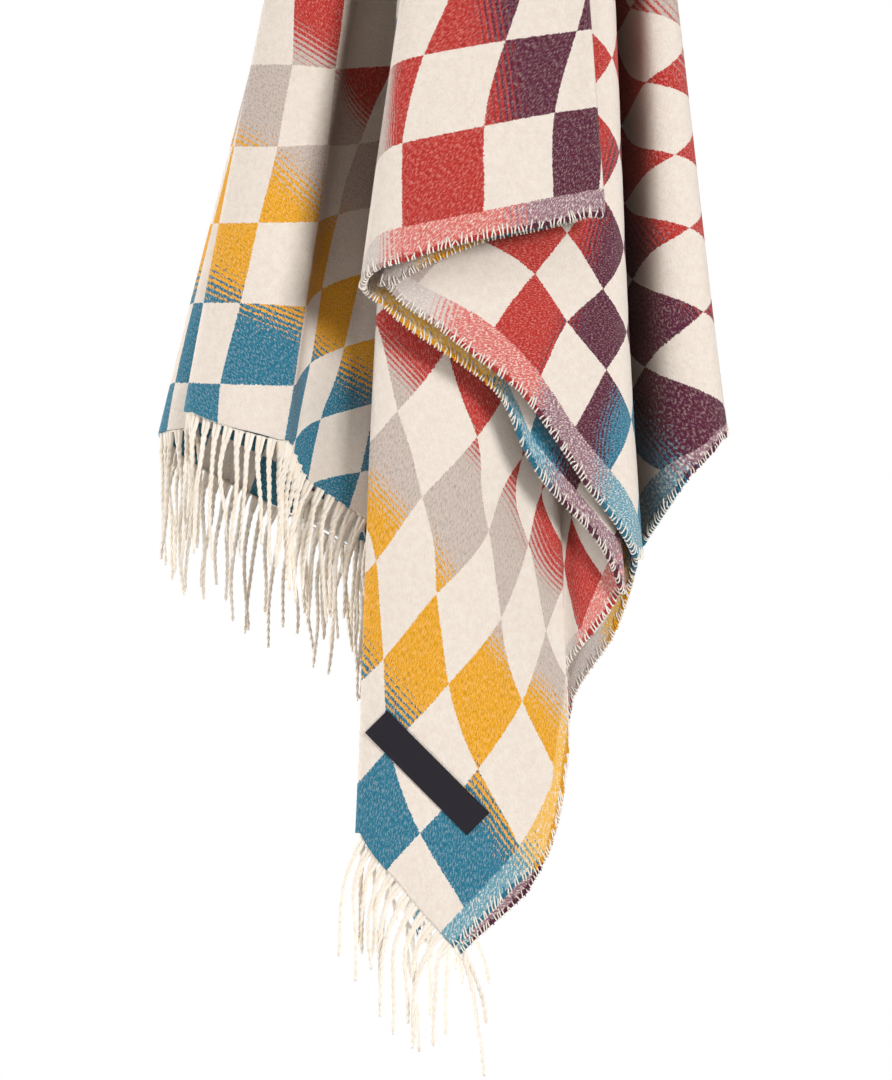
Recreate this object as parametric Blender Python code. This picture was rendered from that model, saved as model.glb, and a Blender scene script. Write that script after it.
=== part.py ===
"""Checkered throw blanket, hung from one point near its middle, with a fringe at both ends.

The cloth is one sheet that hangs from the origin. Its folds run down from there, so every level of it is one
closed loop of pleats. CREASES lists the lines down which the cloth turns, in their order round the loop.
Distances are metres, apart from the tables, which are in millimetres.
"""
import math
import random
from collections import namedtuple

import bpy
import numpy as np
from mathutils import Vector
from mathutils.bvhtree import BVHTree

MM = 0.001
THICKNESS = 0.003
NECK_DROP = 0.220
SHOULDER_DROP = 0.603
SHOULDER_DEPTH_SHARE = 0.86
NECK_DEPTH_SHARE = 0.74
APEX_WIDTH_SHARE = 0.06
TOP_ROUNDNESS = 0.6
TIP_DROP = 0.006
SPAN_LIMIT = 0.090
BUNDLE_MIDDLE = 0.010
BUNDLE_HALF_WIDTH = 0.145
NARROWEST_BUNDLE = 0.2
WIDEST_BUNDLE = 1.4
SIDE_FLATTENING = 0.22

TOP_LEVELS = 5
BODY_LEVELS = 4
SKIRT_LEVELS = 9
SAMPLES_PER_FOLD = 3
SAMPLES_PER_PANEL = 1

STRIP_GAP = 0.0009
STRIP_HEIGHT = 0.003
STRIP_THICKNESS = 0.0026
STEEPEST = 9.0
FRINGE_PITCH = 0.0085
NARROWEST_PITCH = 0.0045
GATHER_DROP = 0.010
STRAND_ROOM = 0.55
STRAND_SWAY = 0.15
SWAY_AT_ROOT = 0.15
STRAND_FLATNESS = 0.8
STRAND_WIDTH = 0.0032
STRAND_TIP_WIDTH = 0.0020
STRAND_LENGTH = 0.105
STRAND_LENGTH_SPREAD = 0.020

LABEL_LENGTH = 0.100
LABEL_WIDTH = 0.022
LABEL_THICKNESS = 0.0008
LABEL_GAP = 0.0004
LABEL_ACROSS = -0.013
LABEL_DROP = 1.1417
LABEL_TILT = math.radians(-45.0)
LABEL_COLUMNS = 24
LABEL_ROWS = 5

# A crease runs straight from the shoulder, where the loop is at its fullest height, to the cloth's edge.
# across: to the right of the hanging point, at the shoulder and at the edge.
# drop: how far below the hanging point the crease meets the edge.
# depth_in, depth_out: behind (+) or before (-) the hanging point, of the panels before and after the crease.
# Where they are equal the cloth only bends there, and otherwise it turns back on itself.
Crease = namedtuple("Crease", "name across_shoulder across_edge drop depth_in depth_out")
CREASES = (
    Crease("left side, rear", -118, -195, 922, 102, 102),
    Crease("left side", -130, -204, 905, 56, 56),
    Crease("left strip", -125, -194, 903, 22, 22),
    Crease("strip valley", -114, -166, 901, 12, 12),
    Crease("left panel, left", -128, -181, 891, 4, -18),
    Crease("left panel, middle", -103, -145, 903, -34, -34),
    Crease("left panel, right", -68, -109, 911, -28, -10),
    Crease("gully", -66, -105, 937, 8, 8),
    Crease("shaded panel", -32, -52, 967, -4, -4),
    Crease("inner fold, right", 78, 53, 1023, -4, -19),
    Crease("tail, left", -35, -65, 1184, -19, -32),
    Crease("tail, fringe", -11, -39, 1216, -37, -37),
    Crease("front corner", 17, 3, 1262, -39, -39),
    Crease("tail, side", 41, 50, 1220, -36, -36),
    Crease("ripple", 57, 69, 1199, -31, -31),
    Crease("tail, right", 71, 86, 1138, -34, -34),
    Crease("tail crease", 77, 77, 1072, -20, -20),
    Crease("flank", 90, 101, 1046, -29, -29),
    Crease("flank, right", 98, 124, 1017, -33, -46),
    Crease("under panel, low", 91, 106, 978, -50, -50),
    Crease("under panel, bend", 73, 69, 945, -53, -53),
    Crease("under panel, dip", 51, 50, 911, -52, -52),
    Crease("under panel, step", 37, 43, 878, -54, -54),
    Crease("under panel, high", -4, -8, 847, -56, -56),
    Crease("lip, lower", -25, -48, 818, -57, -57),
    Crease("lip", -30, -56, 808, -60, -88),
    Crease("lip, upper", -26, -49, 798, -96, -96),
    Crease("front panel, left", -7, -31, 791, -99, -99),
    Crease("front panel, bend", 37, 26, 775, -101, -101),
    Crease("front panel, right", 98, 113, 760, -92, -80),
    Crease("lining, bend", 37, 27, 776, -82, -82),
    Crease("nest, left", -14, -45, 806, -80, -67),
    Crease("middle panel, left", 3, -11, 833, -67, -67),
    Crease("middle panel, bend", 51, 56, 878, -66, -66),
    Crease("middle panel, low", 89, 99, 945, -62, -62),
    Crease("middle panel, right", 116, 138, 993, -52, 15),
    Crease("behind tail, high", 100, 120, 1051, 17, 17),
    Crease("behind tail, side", 82, 82, 1092, 17, 17),
    Crease("behind tail, low", 72, 85, 1164, 18, 18),
    Crease("behind tail, hem", 55, 61, 1229, 18, 18),
    Crease("back corner", 11, 1, 1272, 19, 19),
    Crease("behind shade", -44, -49, 974, 28, 28),
    Crease("deep fold, left", -90, -106, 942, 30, 42),
    Crease("deep fold, right", 97, 78, 995, 36, 49),
    Crease("far fold, left", -60, -52, 948, 51, 66),
    Crease("far corner", 17, 3, 1235, 66, 66),
    Crease("far side", 60, 71, 1099, 66, 66),
    Crease("dark valley", 119, 131, 1001, 58, 58),
    Crease("right panel, left", 132, 149, 969, 6, 6),
    Crease("right panel, middle", 144, 173, 935, -8, -8),
    Crease("right panel, right", 160, 199, 910, 14, 14),
    Crease("right side", 162, 203, 902, 54, 54),
    Crease("rear panel, right", 139, 175, 879, 84, 84),
    Crease("rear panel, high", 39, 53, 769, 84, 84),
    Crease("rear fold, left", -70, -84, 894, 84, 99),
    Crease("rear fold, right", 128, 116, 998, 100, 117),
    Crease("rear corner", -4, -28, 1268, 120, 120),
    Crease("rear tail", -33, -39, 1053, 120, 120),
    Crease("rear shade", -48, -54, 987, 120, 120),
)

# Each fringe runs along the edge between two of the cloth's corners. The seed varies its strands.
Fringe = namedtuple("Fringe", "name first last seed")
FRINGES = (
    Fringe("fringe_front_end", "rear corner", "front corner", 5),
    Fringe("fringe_back_end", "back corner", "far corner", 8),
)

# All the layers sway together. size is in metres, down and along in radians for each metre that way.
Wave = namedtuple("Wave", "size down along")
WAVE_ACROSS = Wave(0.0020, 9.0, 6.0)
WAVES_IN_DEPTH = (Wave(0.0020, 7.0, 16.0), Wave(0.0012, 15.0, -24.0))

Surface = namedtuple("Surface", "color roughness")
SURFACES = {
    "blanket": Surface((0.78, 0.70, 0.60, 1.0), 0.95),
    "fringe_front_end": Surface((0.80, 0.72, 0.62, 1.0), 0.90),
    "fringe_back_end": Surface((0.80, 0.72, 0.62, 1.0), 0.90),
    "label": Surface((0.03, 0.03, 0.035, 1.0), 0.70),
}


def clear_scene():
    """Removes every object of the scene."""
    for thing in list(bpy.data.objects):
        bpy.data.objects.remove(thing, do_unlink=True)


def control_lines():
    """Lists the control lines of the loop, and the number of the line at each crease.

    A crease where the cloth turns back gives two lines at one place, and a wide panel gets lines in between.
    """
    lines = []
    number_of = {}
    for index, crease in enumerate(CREASES):
        number_of[crease.name] = len(lines)
        place = (crease.across_shoulder, crease.across_edge, crease.drop)
        lines.append(place + (crease.depth_in,))
        if crease.depth_out != crease.depth_in:
            lines.append(place + (crease.depth_out,))
        following = CREASES[(index + 1) % len(CREASES)]
        start = np.array(lines[-1], float)
        end = np.array(following[1:4] + (following.depth_in,), float)
        span = math.hypot(end[1] - start[1], end[2] - start[2]) * MM
        pieces = max(1, math.ceil(span / SPAN_LIMIT))
        for piece in range(1, pieces):
            lines.append(tuple(start + (end - start) * piece / pieces))
    return np.array(lines, float) * MM, number_of


def sample_places(lines, fold_samples, panel_samples):
    """Lists where the loop is sampled, as fractional line numbers, finer where the cloth turns back."""
    places = []
    for index, line in enumerate(lines):
        following = lines[(index + 1) % len(lines)]
        turns_back = np.allclose(line[:3], following[:3])
        count = fold_samples if turns_back else panel_samples
        places.extend(index + step / count for step in range(count))
    return np.array(places)


def curve_through(values, places):
    """Reads a closed, even cubic B-spline of the values at the places."""
    whole = np.floor(places).astype(int)
    part = places - whole
    count = len(values)
    weights = (
        (1.0 - part) ** 3 / 6.0,
        (3.0 * part ** 3 - 6.0 * part ** 2 + 4.0) / 6.0,
        (-3.0 * part ** 3 + 3.0 * part ** 2 + 3.0 * part + 1.0) / 6.0,
        part ** 3 / 6.0,
    )
    return sum(weight * values[(whole + shift - 1) % count] for shift, weight in enumerate(weights))


def line_through(values, places):
    """Reads the values straight from one control line to the next, so that corners stay sharp."""
    whole = np.floor(places).astype(int)
    part = places - whole
    count = len(values)
    return values[whole % count] * (1.0 - part) + values[(whole + 1) % count] * part


def gathered(drops):
    """Tells how far the folds have opened at a drop below the top, as a share of what they are at the neck.

    They would meet in one point a little above the top.
    """
    return np.clip((drops + TIP_DROP) / (NECK_DROP + TIP_DROP), 0.0, 1.0) ** TOP_ROUNDNESS


def level_drops(lines):
    """Lists, for each level from the top to the edge, how far below the top each control line is there."""
    drops = []
    for level in range(TOP_LEVELS + 1):
        drops.append(np.full(len(lines), NECK_DROP * (level / TOP_LEVELS) ** 2))
    for level in range(1, BODY_LEVELS + 1):
        drops.append(np.full(len(lines), NECK_DROP + (SHOULDER_DROP - NECK_DROP) * level / BODY_LEVELS))
    for level in range(1, SKIRT_LEVELS + 1):
        drops.append(SHOULDER_DROP + (lines[:, 2] - SHOULDER_DROP) * level / SKIRT_LEVELS)
    return drops


def loop_at(lines, drops):
    """Places the control lines across and in depth at one level. Above the neck the loop only narrows."""
    opened = gathered(drops)
    drops = np.maximum(drops, NECK_DROP)
    shoulder, edge, edge_drop, edge_depth = lines.T
    below = np.clip((drops - SHOULDER_DROP) / (edge_drop - SHOULDER_DROP), 0.0, 1.0)
    above = np.clip(drops / SHOULDER_DROP, 0.0, 1.0)
    slope_above = shoulder * (1.0 - APEX_WIDTH_SHARE) / SHOULDER_DROP
    slope_below = (edge - shoulder) / (edge_drop - SHOULDER_DROP)
    easing = (slope_below - slope_above) * above ** 2 * (above - 1.0) * SHOULDER_DROP
    across = shoulder * (APEX_WIDTH_SHARE + (1.0 - APEX_WIDTH_SHARE) * above) + easing
    across = across + (edge - shoulder) * below
    neck = np.clip((drops - NECK_DROP) / (SHOULDER_DROP - NECK_DROP), 0.0, 1.0)
    depth_share = NECK_DEPTH_SHARE + (SHOULDER_DEPTH_SHARE - NECK_DEPTH_SHARE) * neck
    depth_share = depth_share + (1.0 - SHOULDER_DEPTH_SHARE) * below
    return across * opened, edge_depth * depth_share * opened


def settle(x, y, z):
    """Rounds the bundle at its sides and sways all the layers together, so that they stay apart."""
    low = np.clip(-z / SHOULDER_DROP, 0.0, 1.0) ** 2
    half_width = BUNDLE_HALF_WIDTH * np.clip(-z / SHOULDER_DROP, NARROWEST_BUNDLE, WIDEST_BUNDLE)
    side = np.clip(np.abs(x - BUNDLE_MIDDLE) / half_width, 0.0, 1.0)
    y = y * (1.0 - SIDE_FLATTENING * side ** 2 * low)
    x = x + WAVE_ACROSS.size * low * np.sin(z * WAVE_ACROSS.down + y * WAVE_ACROSS.along)
    y = y + low * sum(wave.size * np.sin(z * wave.down + x * wave.along) for wave in WAVES_IN_DEPTH)
    return x, y, z


def cloth_grid(fold_samples, panel_samples):
    """Works out the middle surface of the cloth.

    Returns an array of levels by samples by (x, y, z), and the fractional line number of each sample.
    """
    lines, number_of = control_lines()
    places = sample_places(lines, fold_samples, panel_samples)
    grid = []
    for drops in level_drops(lines):
        across, depth = loop_at(lines, drops)
        x = curve_through(across, places)
        y = curve_through(depth, places)
        z = -line_through(drops, places)
        grid.append(np.stack(settle(x, y, z), axis=1))
    return np.array(grid), places, number_of


def unit(vectors):
    """Scales vectors to a length of one."""
    return vectors / np.maximum(np.linalg.norm(vectors, axis=-1, keepdims=True), 1e-12)


def outward(grid):
    """Gives the level direction out of the loop at each point of the cloth's middle surface."""
    along = np.roll(grid, -1, axis=1) - np.roll(grid, 1, axis=1)
    down = np.empty_like(grid)
    down[1:-1] = grid[2:] - grid[:-2]
    down[0] = grid[1] - grid[0]
    down[-1] = grid[-1] - grid[-2]
    away = np.cross(down, along)
    away[..., 2] = 0.0
    return unit(away)


def make_object(name, points, faces):
    """Makes one object of the points and faces, with its own material."""
    mesh = bpy.data.meshes.new(name)
    mesh.from_pydata([tuple(point) for point in points], [], faces)
    mesh.validate()
    mesh.shade_smooth()
    thing = bpy.data.objects.new(name, mesh)
    bpy.context.collection.objects.link(thing)
    surface = SURFACES[name]
    material = bpy.data.materials.new(name)
    material.use_nodes = True
    shader = material.node_tree.nodes["Principled BSDF"]
    shader.inputs["Base Color"].default_value = surface.color
    shader.inputs["Roughness"].default_value = surface.roughness
    shader.inputs["Metallic"].default_value = 0.0
    mesh.materials.append(material)
    return thing


def ring_faces(upper, lower, count):
    """Lists the triangles between two closed rows of points that start at the given numbers."""
    faces = []
    for index in range(count):
        following = (index + 1) % count
        faces.append((upper + index, lower + index, lower + following))
        faces.append((upper + index, lower + following, upper + following))
    return faces


def make_blanket(grid):
    """Gives the middle surface its thickness, and closes it at the top and round the edge.

    The hollow inside ends one level below the outside, so that the tip is solid.
    """
    levels, count, _ = grid.shape
    away = outward(grid) * THICKNESS / 2.0 * gathered(-grid[..., 2:])
    outer = (grid + away).reshape(-1, 3)
    inner = (grid - away)[1:].reshape(-1, 3)
    inner_start = len(outer)
    faces = [tuple(range(count)), tuple(range(inner_start, inner_start + count))[::-1]]
    for level in range(levels - 1):
        faces += ring_faces(level * count, (level + 1) * count, count)
    for level in range(levels - 2):
        upper = inner_start + level * count
        faces += [face[::-1] for face in ring_faces(upper, upper + count, count)]
    faces += ring_faces((levels - 1) * count, inner_start + (levels - 2) * count, count)
    return make_object("blanket", np.concatenate((outer, inner)), faces)


def edge_between(places, first, last):
    """Lists the sample numbers along the cloth's edge from one place to another, round the loop."""
    start = int(np.argmin(np.abs(places - first)))
    end = int(np.argmin(np.abs(places - last)))
    count = len(places)
    return [(start + step) % count for step in range((end - start) % count + 1)]


def fringe_places(points):
    """Divides each stretch of the edge into strands, fewer where it is steep, and lists where they meet."""
    marks = []
    for index in range(len(points) - 1):
        length = np.linalg.norm(points[index + 1] - points[index])
        across = math.hypot(*(points[index + 1] - points[index])[:2])
        strands = max(1, round(min(length / FRINGE_PITCH, across / NARROWEST_PITCH)))
        marks.extend(index + step / strands for step in range(strands))
    marks.append(len(points) - 1.0)
    return np.array(marks)


def read_at(values, marks):
    """Reads an open row of values at the fractional numbers."""
    whole = np.minimum(np.floor(marks).astype(int), len(values) - 2)
    part = (marks - whole).reshape((-1,) + (1,) * (values.ndim - 1))
    return values[whole] * (1.0 - part) + values[whole + 1] * part


def make_fringe(name, edge, across, seed):
    """Builds one fringe: a narrow strip just below the cloth's edge, and a strand below each stretch of it.

    edge is the row of points of the cloth's edge, and across the level direction through the cloth at each.
    """
    draw = random.Random(seed)
    steps = np.diff(edge, axis=0)
    steepness = np.linalg.norm(steps, axis=1) / np.maximum(np.hypot(steps[:, 0], steps[:, 1]), 1e-6)
    steepness = np.minimum(steepness, STEEPEST)
    steepness = np.maximum(np.append(steepness, steepness[-1]), np.append(steepness[0], steepness))
    marks = fringe_places(edge)
    root = read_at(edge, marks)
    through = unit(read_at(across, marks)) * STRIP_THICKNESS / 2.0
    steep = read_at(steepness, marks)
    top = root.copy()
    top[:, 2] -= STRIP_GAP * steep
    low = top.copy()
    low[:, 2] -= STRIP_HEIGHT * steep
    count = len(marks)
    points = [*(top + through), *(top - through), *(low + through), *(low - through)]
    faces = []
    for index in range(count - 1):
        following = index + 1
        faces.append((index, following, count + following))
        faces.append((index, count + following, count + index))
        faces.append((index, 2 * count + index, 2 * count + following, following))
        faces.append((count + following, 3 * count + following, 3 * count + index, count + index))
        left = (low[index], through[index])
        right = (low[following], through[following])
        corners = (2 * count + index, 2 * count + following, 3 * count + following, 3 * count + index)
        add_strand(points, faces, corners, left, right, draw)
    faces.append((0, count, 3 * count, 2 * count))
    last = count - 1
    faces.append((last, 2 * count + last, 3 * count + last, count + last))
    return make_object(name, points, faces)


def add_strand(points, faces, corners, left, right, draw):
    """Hangs one strand below the strip, from the four corners of its root down to a small flat end.

    left and right are the ends of the root: the point midway through the strip, and half of its thickness.
    """
    middle = (left[0] + right[0]) / 2.0
    level = (right[0] - left[0]) * np.array((1.0, 1.0, 0.0))
    pitch = np.linalg.norm(level)
    length = STRAND_LENGTH + draw.uniform(-1.0, 1.0) * STRAND_LENGTH_SPREAD
    sway = draw.uniform(-1.0, 1.0) * STRAND_SWAY * pitch
    drop = GATHER_DROP + abs(right[0][2] - left[0][2]) / 2.0
    half_thick = unit(left[1] + right[1])
    for below, share, width in ((drop, SWAY_AT_ROOT, STRAND_WIDTH), (length, 1.0, STRAND_TIP_WIDTH)):
        half_wide = level / pitch * min(width, STRAND_ROOM * pitch) / 2.0
        half_deep = half_thick * width * STRAND_FLATNESS / 2.0
        centre = middle + level / pitch * sway * share - np.array((0.0, 0.0, below))
        start = len(points)
        points.extend((centre - half_wide + half_deep, centre + half_wide + half_deep,
                       centre + half_wide - half_deep, centre - half_wide - half_deep))
        new = (start, start + 1, start + 2, start + 3)
        for side in range(4):
            after = (side + 1) % 4
            faces.append((corners[side], new[side], new[after], corners[after]))
        corners = new
    faces.append(corners[::-1])


def depth_at(tree, place):
    """Tells how far back the cloth's front is, seen from a place before it."""
    return tree.ray_cast(place, Vector((0.0, 1.0, 0.0)))[0].y


def make_label(blanket):
    """Lays the label on the front of the tail, just clear of the cloth, whose curve it follows."""
    corners = [vertex.co for vertex in blanket.data.vertices]
    tree = BVHTree.FromPolygons(corners, [face.vertices for face in blanket.data.polygons])
    along = Vector((math.cos(LABEL_TILT), 0.0, math.sin(LABEL_TILT)))
    over = Vector((-math.sin(LABEL_TILT), 0.0, math.cos(LABEL_TILT)))
    middle = Vector((LABEL_ACROSS, -1.0, -LABEL_DROP))
    step = LABEL_LENGTH / LABEL_COLUMNS / 2.0
    around = [along * step * right + over * step * up for right in (-1, 0, 1) for up in (-1, 0, 1)]
    back = []
    front = []
    for row in range(LABEL_ROWS + 1):
        for column in range(LABEL_COLUMNS + 1):
            place = middle + along * LABEL_LENGTH * (column / LABEL_COLUMNS - 0.5)
            place = place + over * LABEL_WIDTH * (row / LABEL_ROWS - 0.5)
            depth = min(depth_at(tree, place + near) for near in around)
            back.append((place.x, depth - LABEL_GAP, place.z))
            front.append((place.x, depth - LABEL_GAP - LABEL_THICKNESS, place.z))
    wide = LABEL_COLUMNS + 1
    far = len(front)
    faces = []
    for row in range(LABEL_ROWS):
        for column in range(LABEL_COLUMNS):
            corner = row * wide + column
            quad = (corner, corner + 1, corner + wide + 1, corner + wide)
            faces.append(quad)
            faces.append(tuple(number + far for number in quad[::-1]))
    rim = list(range(wide))
    rim += [row * wide + wide - 1 for row in range(1, LABEL_ROWS + 1)]
    rim += [LABEL_ROWS * wide + column for column in range(wide - 2, -1, -1)]
    rim += [row * wide for row in range(LABEL_ROWS - 1, 0, -1)]
    for index, corner in enumerate(rim):
        following = rim[(index + 1) % len(rim)]
        faces.append((following, corner, corner + far, following + far))
    return make_object("label", front + back, faces)


def main():
    """Builds the four pieces."""
    clear_scene()
    grid, places, number_of = cloth_grid(SAMPLES_PER_FOLD, SAMPLES_PER_PANEL)
    blanket = make_blanket(grid)
    across = outward(grid)[-1]
    for fringe in FRINGES:
        samples = edge_between(places, number_of[fringe.first], number_of[fringe.last])
        make_fringe(fringe.name, grid[-1][samples], across[samples], fringe.seed)
    make_label(blanket)


main()
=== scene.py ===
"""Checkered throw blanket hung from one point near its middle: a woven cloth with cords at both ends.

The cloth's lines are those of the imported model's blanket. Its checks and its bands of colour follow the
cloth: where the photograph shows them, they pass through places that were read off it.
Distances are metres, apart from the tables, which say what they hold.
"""

import logging
import math
import random
from collections.abc import Callable
from dataclasses import dataclass, field
from enum import Enum

import bpy
import numpy as np
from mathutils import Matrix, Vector
from mathutils.bvhtree import BVHTree


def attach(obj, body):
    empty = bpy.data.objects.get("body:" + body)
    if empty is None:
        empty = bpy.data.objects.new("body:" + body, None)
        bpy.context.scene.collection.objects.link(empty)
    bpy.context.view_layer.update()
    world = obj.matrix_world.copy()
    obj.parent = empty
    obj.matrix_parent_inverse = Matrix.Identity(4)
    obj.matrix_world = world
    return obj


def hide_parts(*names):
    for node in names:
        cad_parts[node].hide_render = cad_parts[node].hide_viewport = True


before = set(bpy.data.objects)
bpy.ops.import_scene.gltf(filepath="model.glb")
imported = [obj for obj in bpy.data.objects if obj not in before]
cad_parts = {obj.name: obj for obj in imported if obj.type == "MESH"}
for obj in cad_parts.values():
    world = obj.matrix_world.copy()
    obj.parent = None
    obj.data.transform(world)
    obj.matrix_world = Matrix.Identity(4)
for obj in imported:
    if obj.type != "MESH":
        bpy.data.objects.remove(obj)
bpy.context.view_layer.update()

MM = 0.001
TINY = 1e-12
NEARLY_NOTHING = 1e-9

Triple = tuple[float, float, float]
Face = tuple[int, ...]


class Patch(Enum):
    """A part of the cloth whose checks show in the photograph, or NONE for a part that is hidden in it."""

    NONE = "hidden"
    LEFT = "left panel"
    SHADE = "shaded panel"
    TAIL = "tail"
    FLANK = "flank"
    FRONT = "front panel"
    MIDDLE = "middle panel"
    RIGHT = "right panel"


@dataclass(frozen=True)
class Crease:
    """A line from the shoulder to the cloth's edge, down which the cloth bends or turns back.

    The distances are in millimetres: how far across the line is at the shoulder and at the edge, how far
    below the hanging point it meets the edge, and how far behind it the panels before and after it are.
    column and row say where on the cloth the line meets the edge. columns_on is how many columns are hidden
    between the line and the patch that its checks are read from.
    """

    name: str
    across_shoulder: float
    across_edge: float
    drop: float
    depth_in: float
    depth_out: float
    column: float
    row: float
    patch: Patch = Patch.NONE
    columns_on: float = 0.0

    def line(self, depth: float) -> tuple[float, float, float, float]:
        """Gives the numbers of the control line that runs down this crease at a depth."""
        return (self.across_shoulder, self.across_edge, self.drop, depth)


LAST_COLUMN = 24.25
FIRST_COLUMN = -0.25
FIRST_ROW = -0.5
LAST_ROW = 31.5

CREASES = (
    Crease("left side, rear", -118, -195, 922, 102, 102, 9.3, FIRST_ROW),
    Crease("left side", -130, -204, 905, 56, 56, 10.3, FIRST_ROW, Patch.LEFT, -1.7),
    Crease("left strip", -125, -194, 903, 22, 22, 11.0, FIRST_ROW, Patch.LEFT, -1.0),
    Crease("strip valley", -114, -166, 901, 12, 12, 11.6, FIRST_ROW, Patch.LEFT, -1.0),
    Crease("left panel, left", -128, -181, 891, 4, -18, 12.3, FIRST_ROW, Patch.LEFT),
    Crease("left panel, middle", -103, -145, 903, -34, -34, 13.0, FIRST_ROW, Patch.LEFT),
    Crease("left panel, right", -68, -109, 911, -28, -10, 13.8, FIRST_ROW, Patch.LEFT),
    Crease("gully", -66, -105, 937, 8, 8, 14.8, FIRST_ROW, Patch.SHADE),
    Crease("shaded panel", -32, -52, 967, -4, -4, 16.0, FIRST_ROW, Patch.SHADE),
    Crease("inner fold, right", 78, 53, 1023, -4, -19, 18.5, FIRST_ROW, Patch.SHADE),
    Crease("tail, left", -35, -65, 1184, -19, -32, 22.2, FIRST_ROW, Patch.TAIL),
    Crease("tail, fringe", -11, -39, 1216, -37, -37, 23.2, FIRST_ROW, Patch.TAIL),
    Crease("front corner", 17, 3, 1262, -39, -39, LAST_COLUMN, FIRST_ROW, Patch.TAIL),
    Crease("tail, side", 41, 50, 1220, -36, -36, LAST_COLUMN, 1.0, Patch.TAIL),
    Crease("ripple", 57, 69, 1199, -31, -31, LAST_COLUMN, 1.6, Patch.TAIL),
    Crease("tail, right", 71, 86, 1138, -34, -34, LAST_COLUMN, 2.6, Patch.TAIL),
    Crease("tail crease", 77, 77, 1072, -20, -20, LAST_COLUMN, 3.7, Patch.TAIL),
    Crease("flank", 90, 101, 1046, -29, -29, LAST_COLUMN, 4.6, Patch.FLANK),
    Crease("flank, right", 98, 124, 1017, -33, -46, LAST_COLUMN, 5.8, Patch.FLANK),
    Crease("under panel, low", 91, 106, 978, -50, -50, LAST_COLUMN, 6.5),
    Crease("under panel, bend", 73, 69, 945, -53, -53, LAST_COLUMN, 7.4),
    Crease("under panel, dip", 51, 50, 911, -52, -52, LAST_COLUMN, 8.2),
    Crease("under panel, step", 37, 43, 878, -54, -54, LAST_COLUMN, 9.0),
    Crease("under panel, high", -4, -8, 847, -56, -56, LAST_COLUMN, 9.8),
    Crease("lip, lower", -25, -48, 818, -57, -57, LAST_COLUMN, 10.5),
    Crease("lip", -30, -56, 808, -60, -88, LAST_COLUMN, 10.9),
    Crease("lip, upper", -26, -49, 798, -96, -96, LAST_COLUMN, 11.4, Patch.FRONT),
    Crease("front panel, left", -7, -31, 791, -99, -99, LAST_COLUMN, 12.0, Patch.FRONT),
    Crease("front panel, bend", 37, 26, 775, -101, -101, LAST_COLUMN, 13.0, Patch.FRONT),
    Crease("front panel, right", 98, 113, 760, -92, -80, LAST_COLUMN, 14.7, Patch.FRONT),
    Crease("lining, bend", 37, 27, 776, -82, -82, LAST_COLUMN, 17.1),
    Crease("nest, left", -14, -45, 806, -80, -67, LAST_COLUMN, 18.6, Patch.MIDDLE),
    Crease("middle panel, left", 3, -11, 833, -67, -67, LAST_COLUMN, 19.4, Patch.MIDDLE),
    Crease("middle panel, bend", 51, 56, 878, -66, -66, LAST_COLUMN, 21.0, Patch.MIDDLE),
    Crease("middle panel, low", 89, 99, 945, -62, -62, LAST_COLUMN, 22.9, Patch.MIDDLE),
    Crease("middle panel, right", 116, 138, 993, -52, 15, LAST_COLUMN, 24.8, Patch.MIDDLE),
    Crease("behind tail, high", 100, 120, 1051, 17, 17, LAST_COLUMN, 26.6),
    Crease("behind tail, side", 82, 82, 1092, 17, 17, LAST_COLUMN, 28.2),
    Crease("behind tail, low", 72, 85, 1164, 18, 18, LAST_COLUMN, 29.5),
    Crease("behind tail, hem", 55, 61, 1229, 18, 18, LAST_COLUMN, 30.7),
    Crease("back corner", 11, 1, 1272, 19, 19, LAST_COLUMN, LAST_ROW),
    Crease("behind shade", -44, -49, 974, 28, 28, 17.0, LAST_ROW),
    Crease("deep fold, left", -90, -106, 942, 30, 42, 15.4, LAST_ROW),
    Crease("deep fold, right", 97, 78, 995, 36, 49, 10.7, LAST_ROW),
    Crease("far fold, left", -60, -52, 948, 51, 66, 7.1, LAST_ROW),
    Crease("far corner", 17, 3, 1235, 66, 66, FIRST_COLUMN, LAST_ROW),
    Crease("far side", 60, 71, 1099, 66, 66, FIRST_COLUMN, 28.6),
    Crease("dark valley", 119, 131, 1001, 58, 58, FIRST_COLUMN, 26.2, Patch.RIGHT),
    Crease("right panel, left", 132, 149, 969, 6, 6, FIRST_COLUMN, 24.7, Patch.RIGHT),
    Crease("right panel, middle", 144, 173, 935, -8, -8, FIRST_COLUMN, 23.9, Patch.RIGHT),
    Crease("right panel, right", 160, 199, 910, 14, 14, FIRST_COLUMN, 23.3, Patch.RIGHT),
    Crease("right side", 162, 203, 902, 54, 54, FIRST_COLUMN, 22.2, Patch.RIGHT),
    Crease("rear panel, right", 139, 175, 879, 84, 84, FIRST_COLUMN, 21.2),
    Crease("rear panel, high", 39, 53, 769, 84, 84, FIRST_COLUMN, 17.2),
    Crease("rear fold, left", -70, -84, 894, 84, 99, FIRST_COLUMN, 12.6),
    Crease("rear fold, right", 128, 116, 998, 100, 117, FIRST_COLUMN, 7.1),
    Crease("rear corner", -4, -28, 1268, 120, 120, FIRST_COLUMN, FIRST_ROW),
    Crease("rear tail", -33, -39, 1053, 120, 120, 4.4, FIRST_ROW),
    Crease("rear shade", -48, -54, 987, 120, 120, 5.9, FIRST_ROW),
)


@dataclass(frozen=True)
class SeenChecks:
    """Where corners of checks and changes of colour lie in the photograph, in its pixels.

    corners holds rows of across, down, column and row, and bands rows of across, down and the number of
    rows of checks from the first end, counted by colour.
    """

    corners: tuple[tuple[float, float, float, float], ...]
    bands: tuple[Triple, ...]


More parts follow.
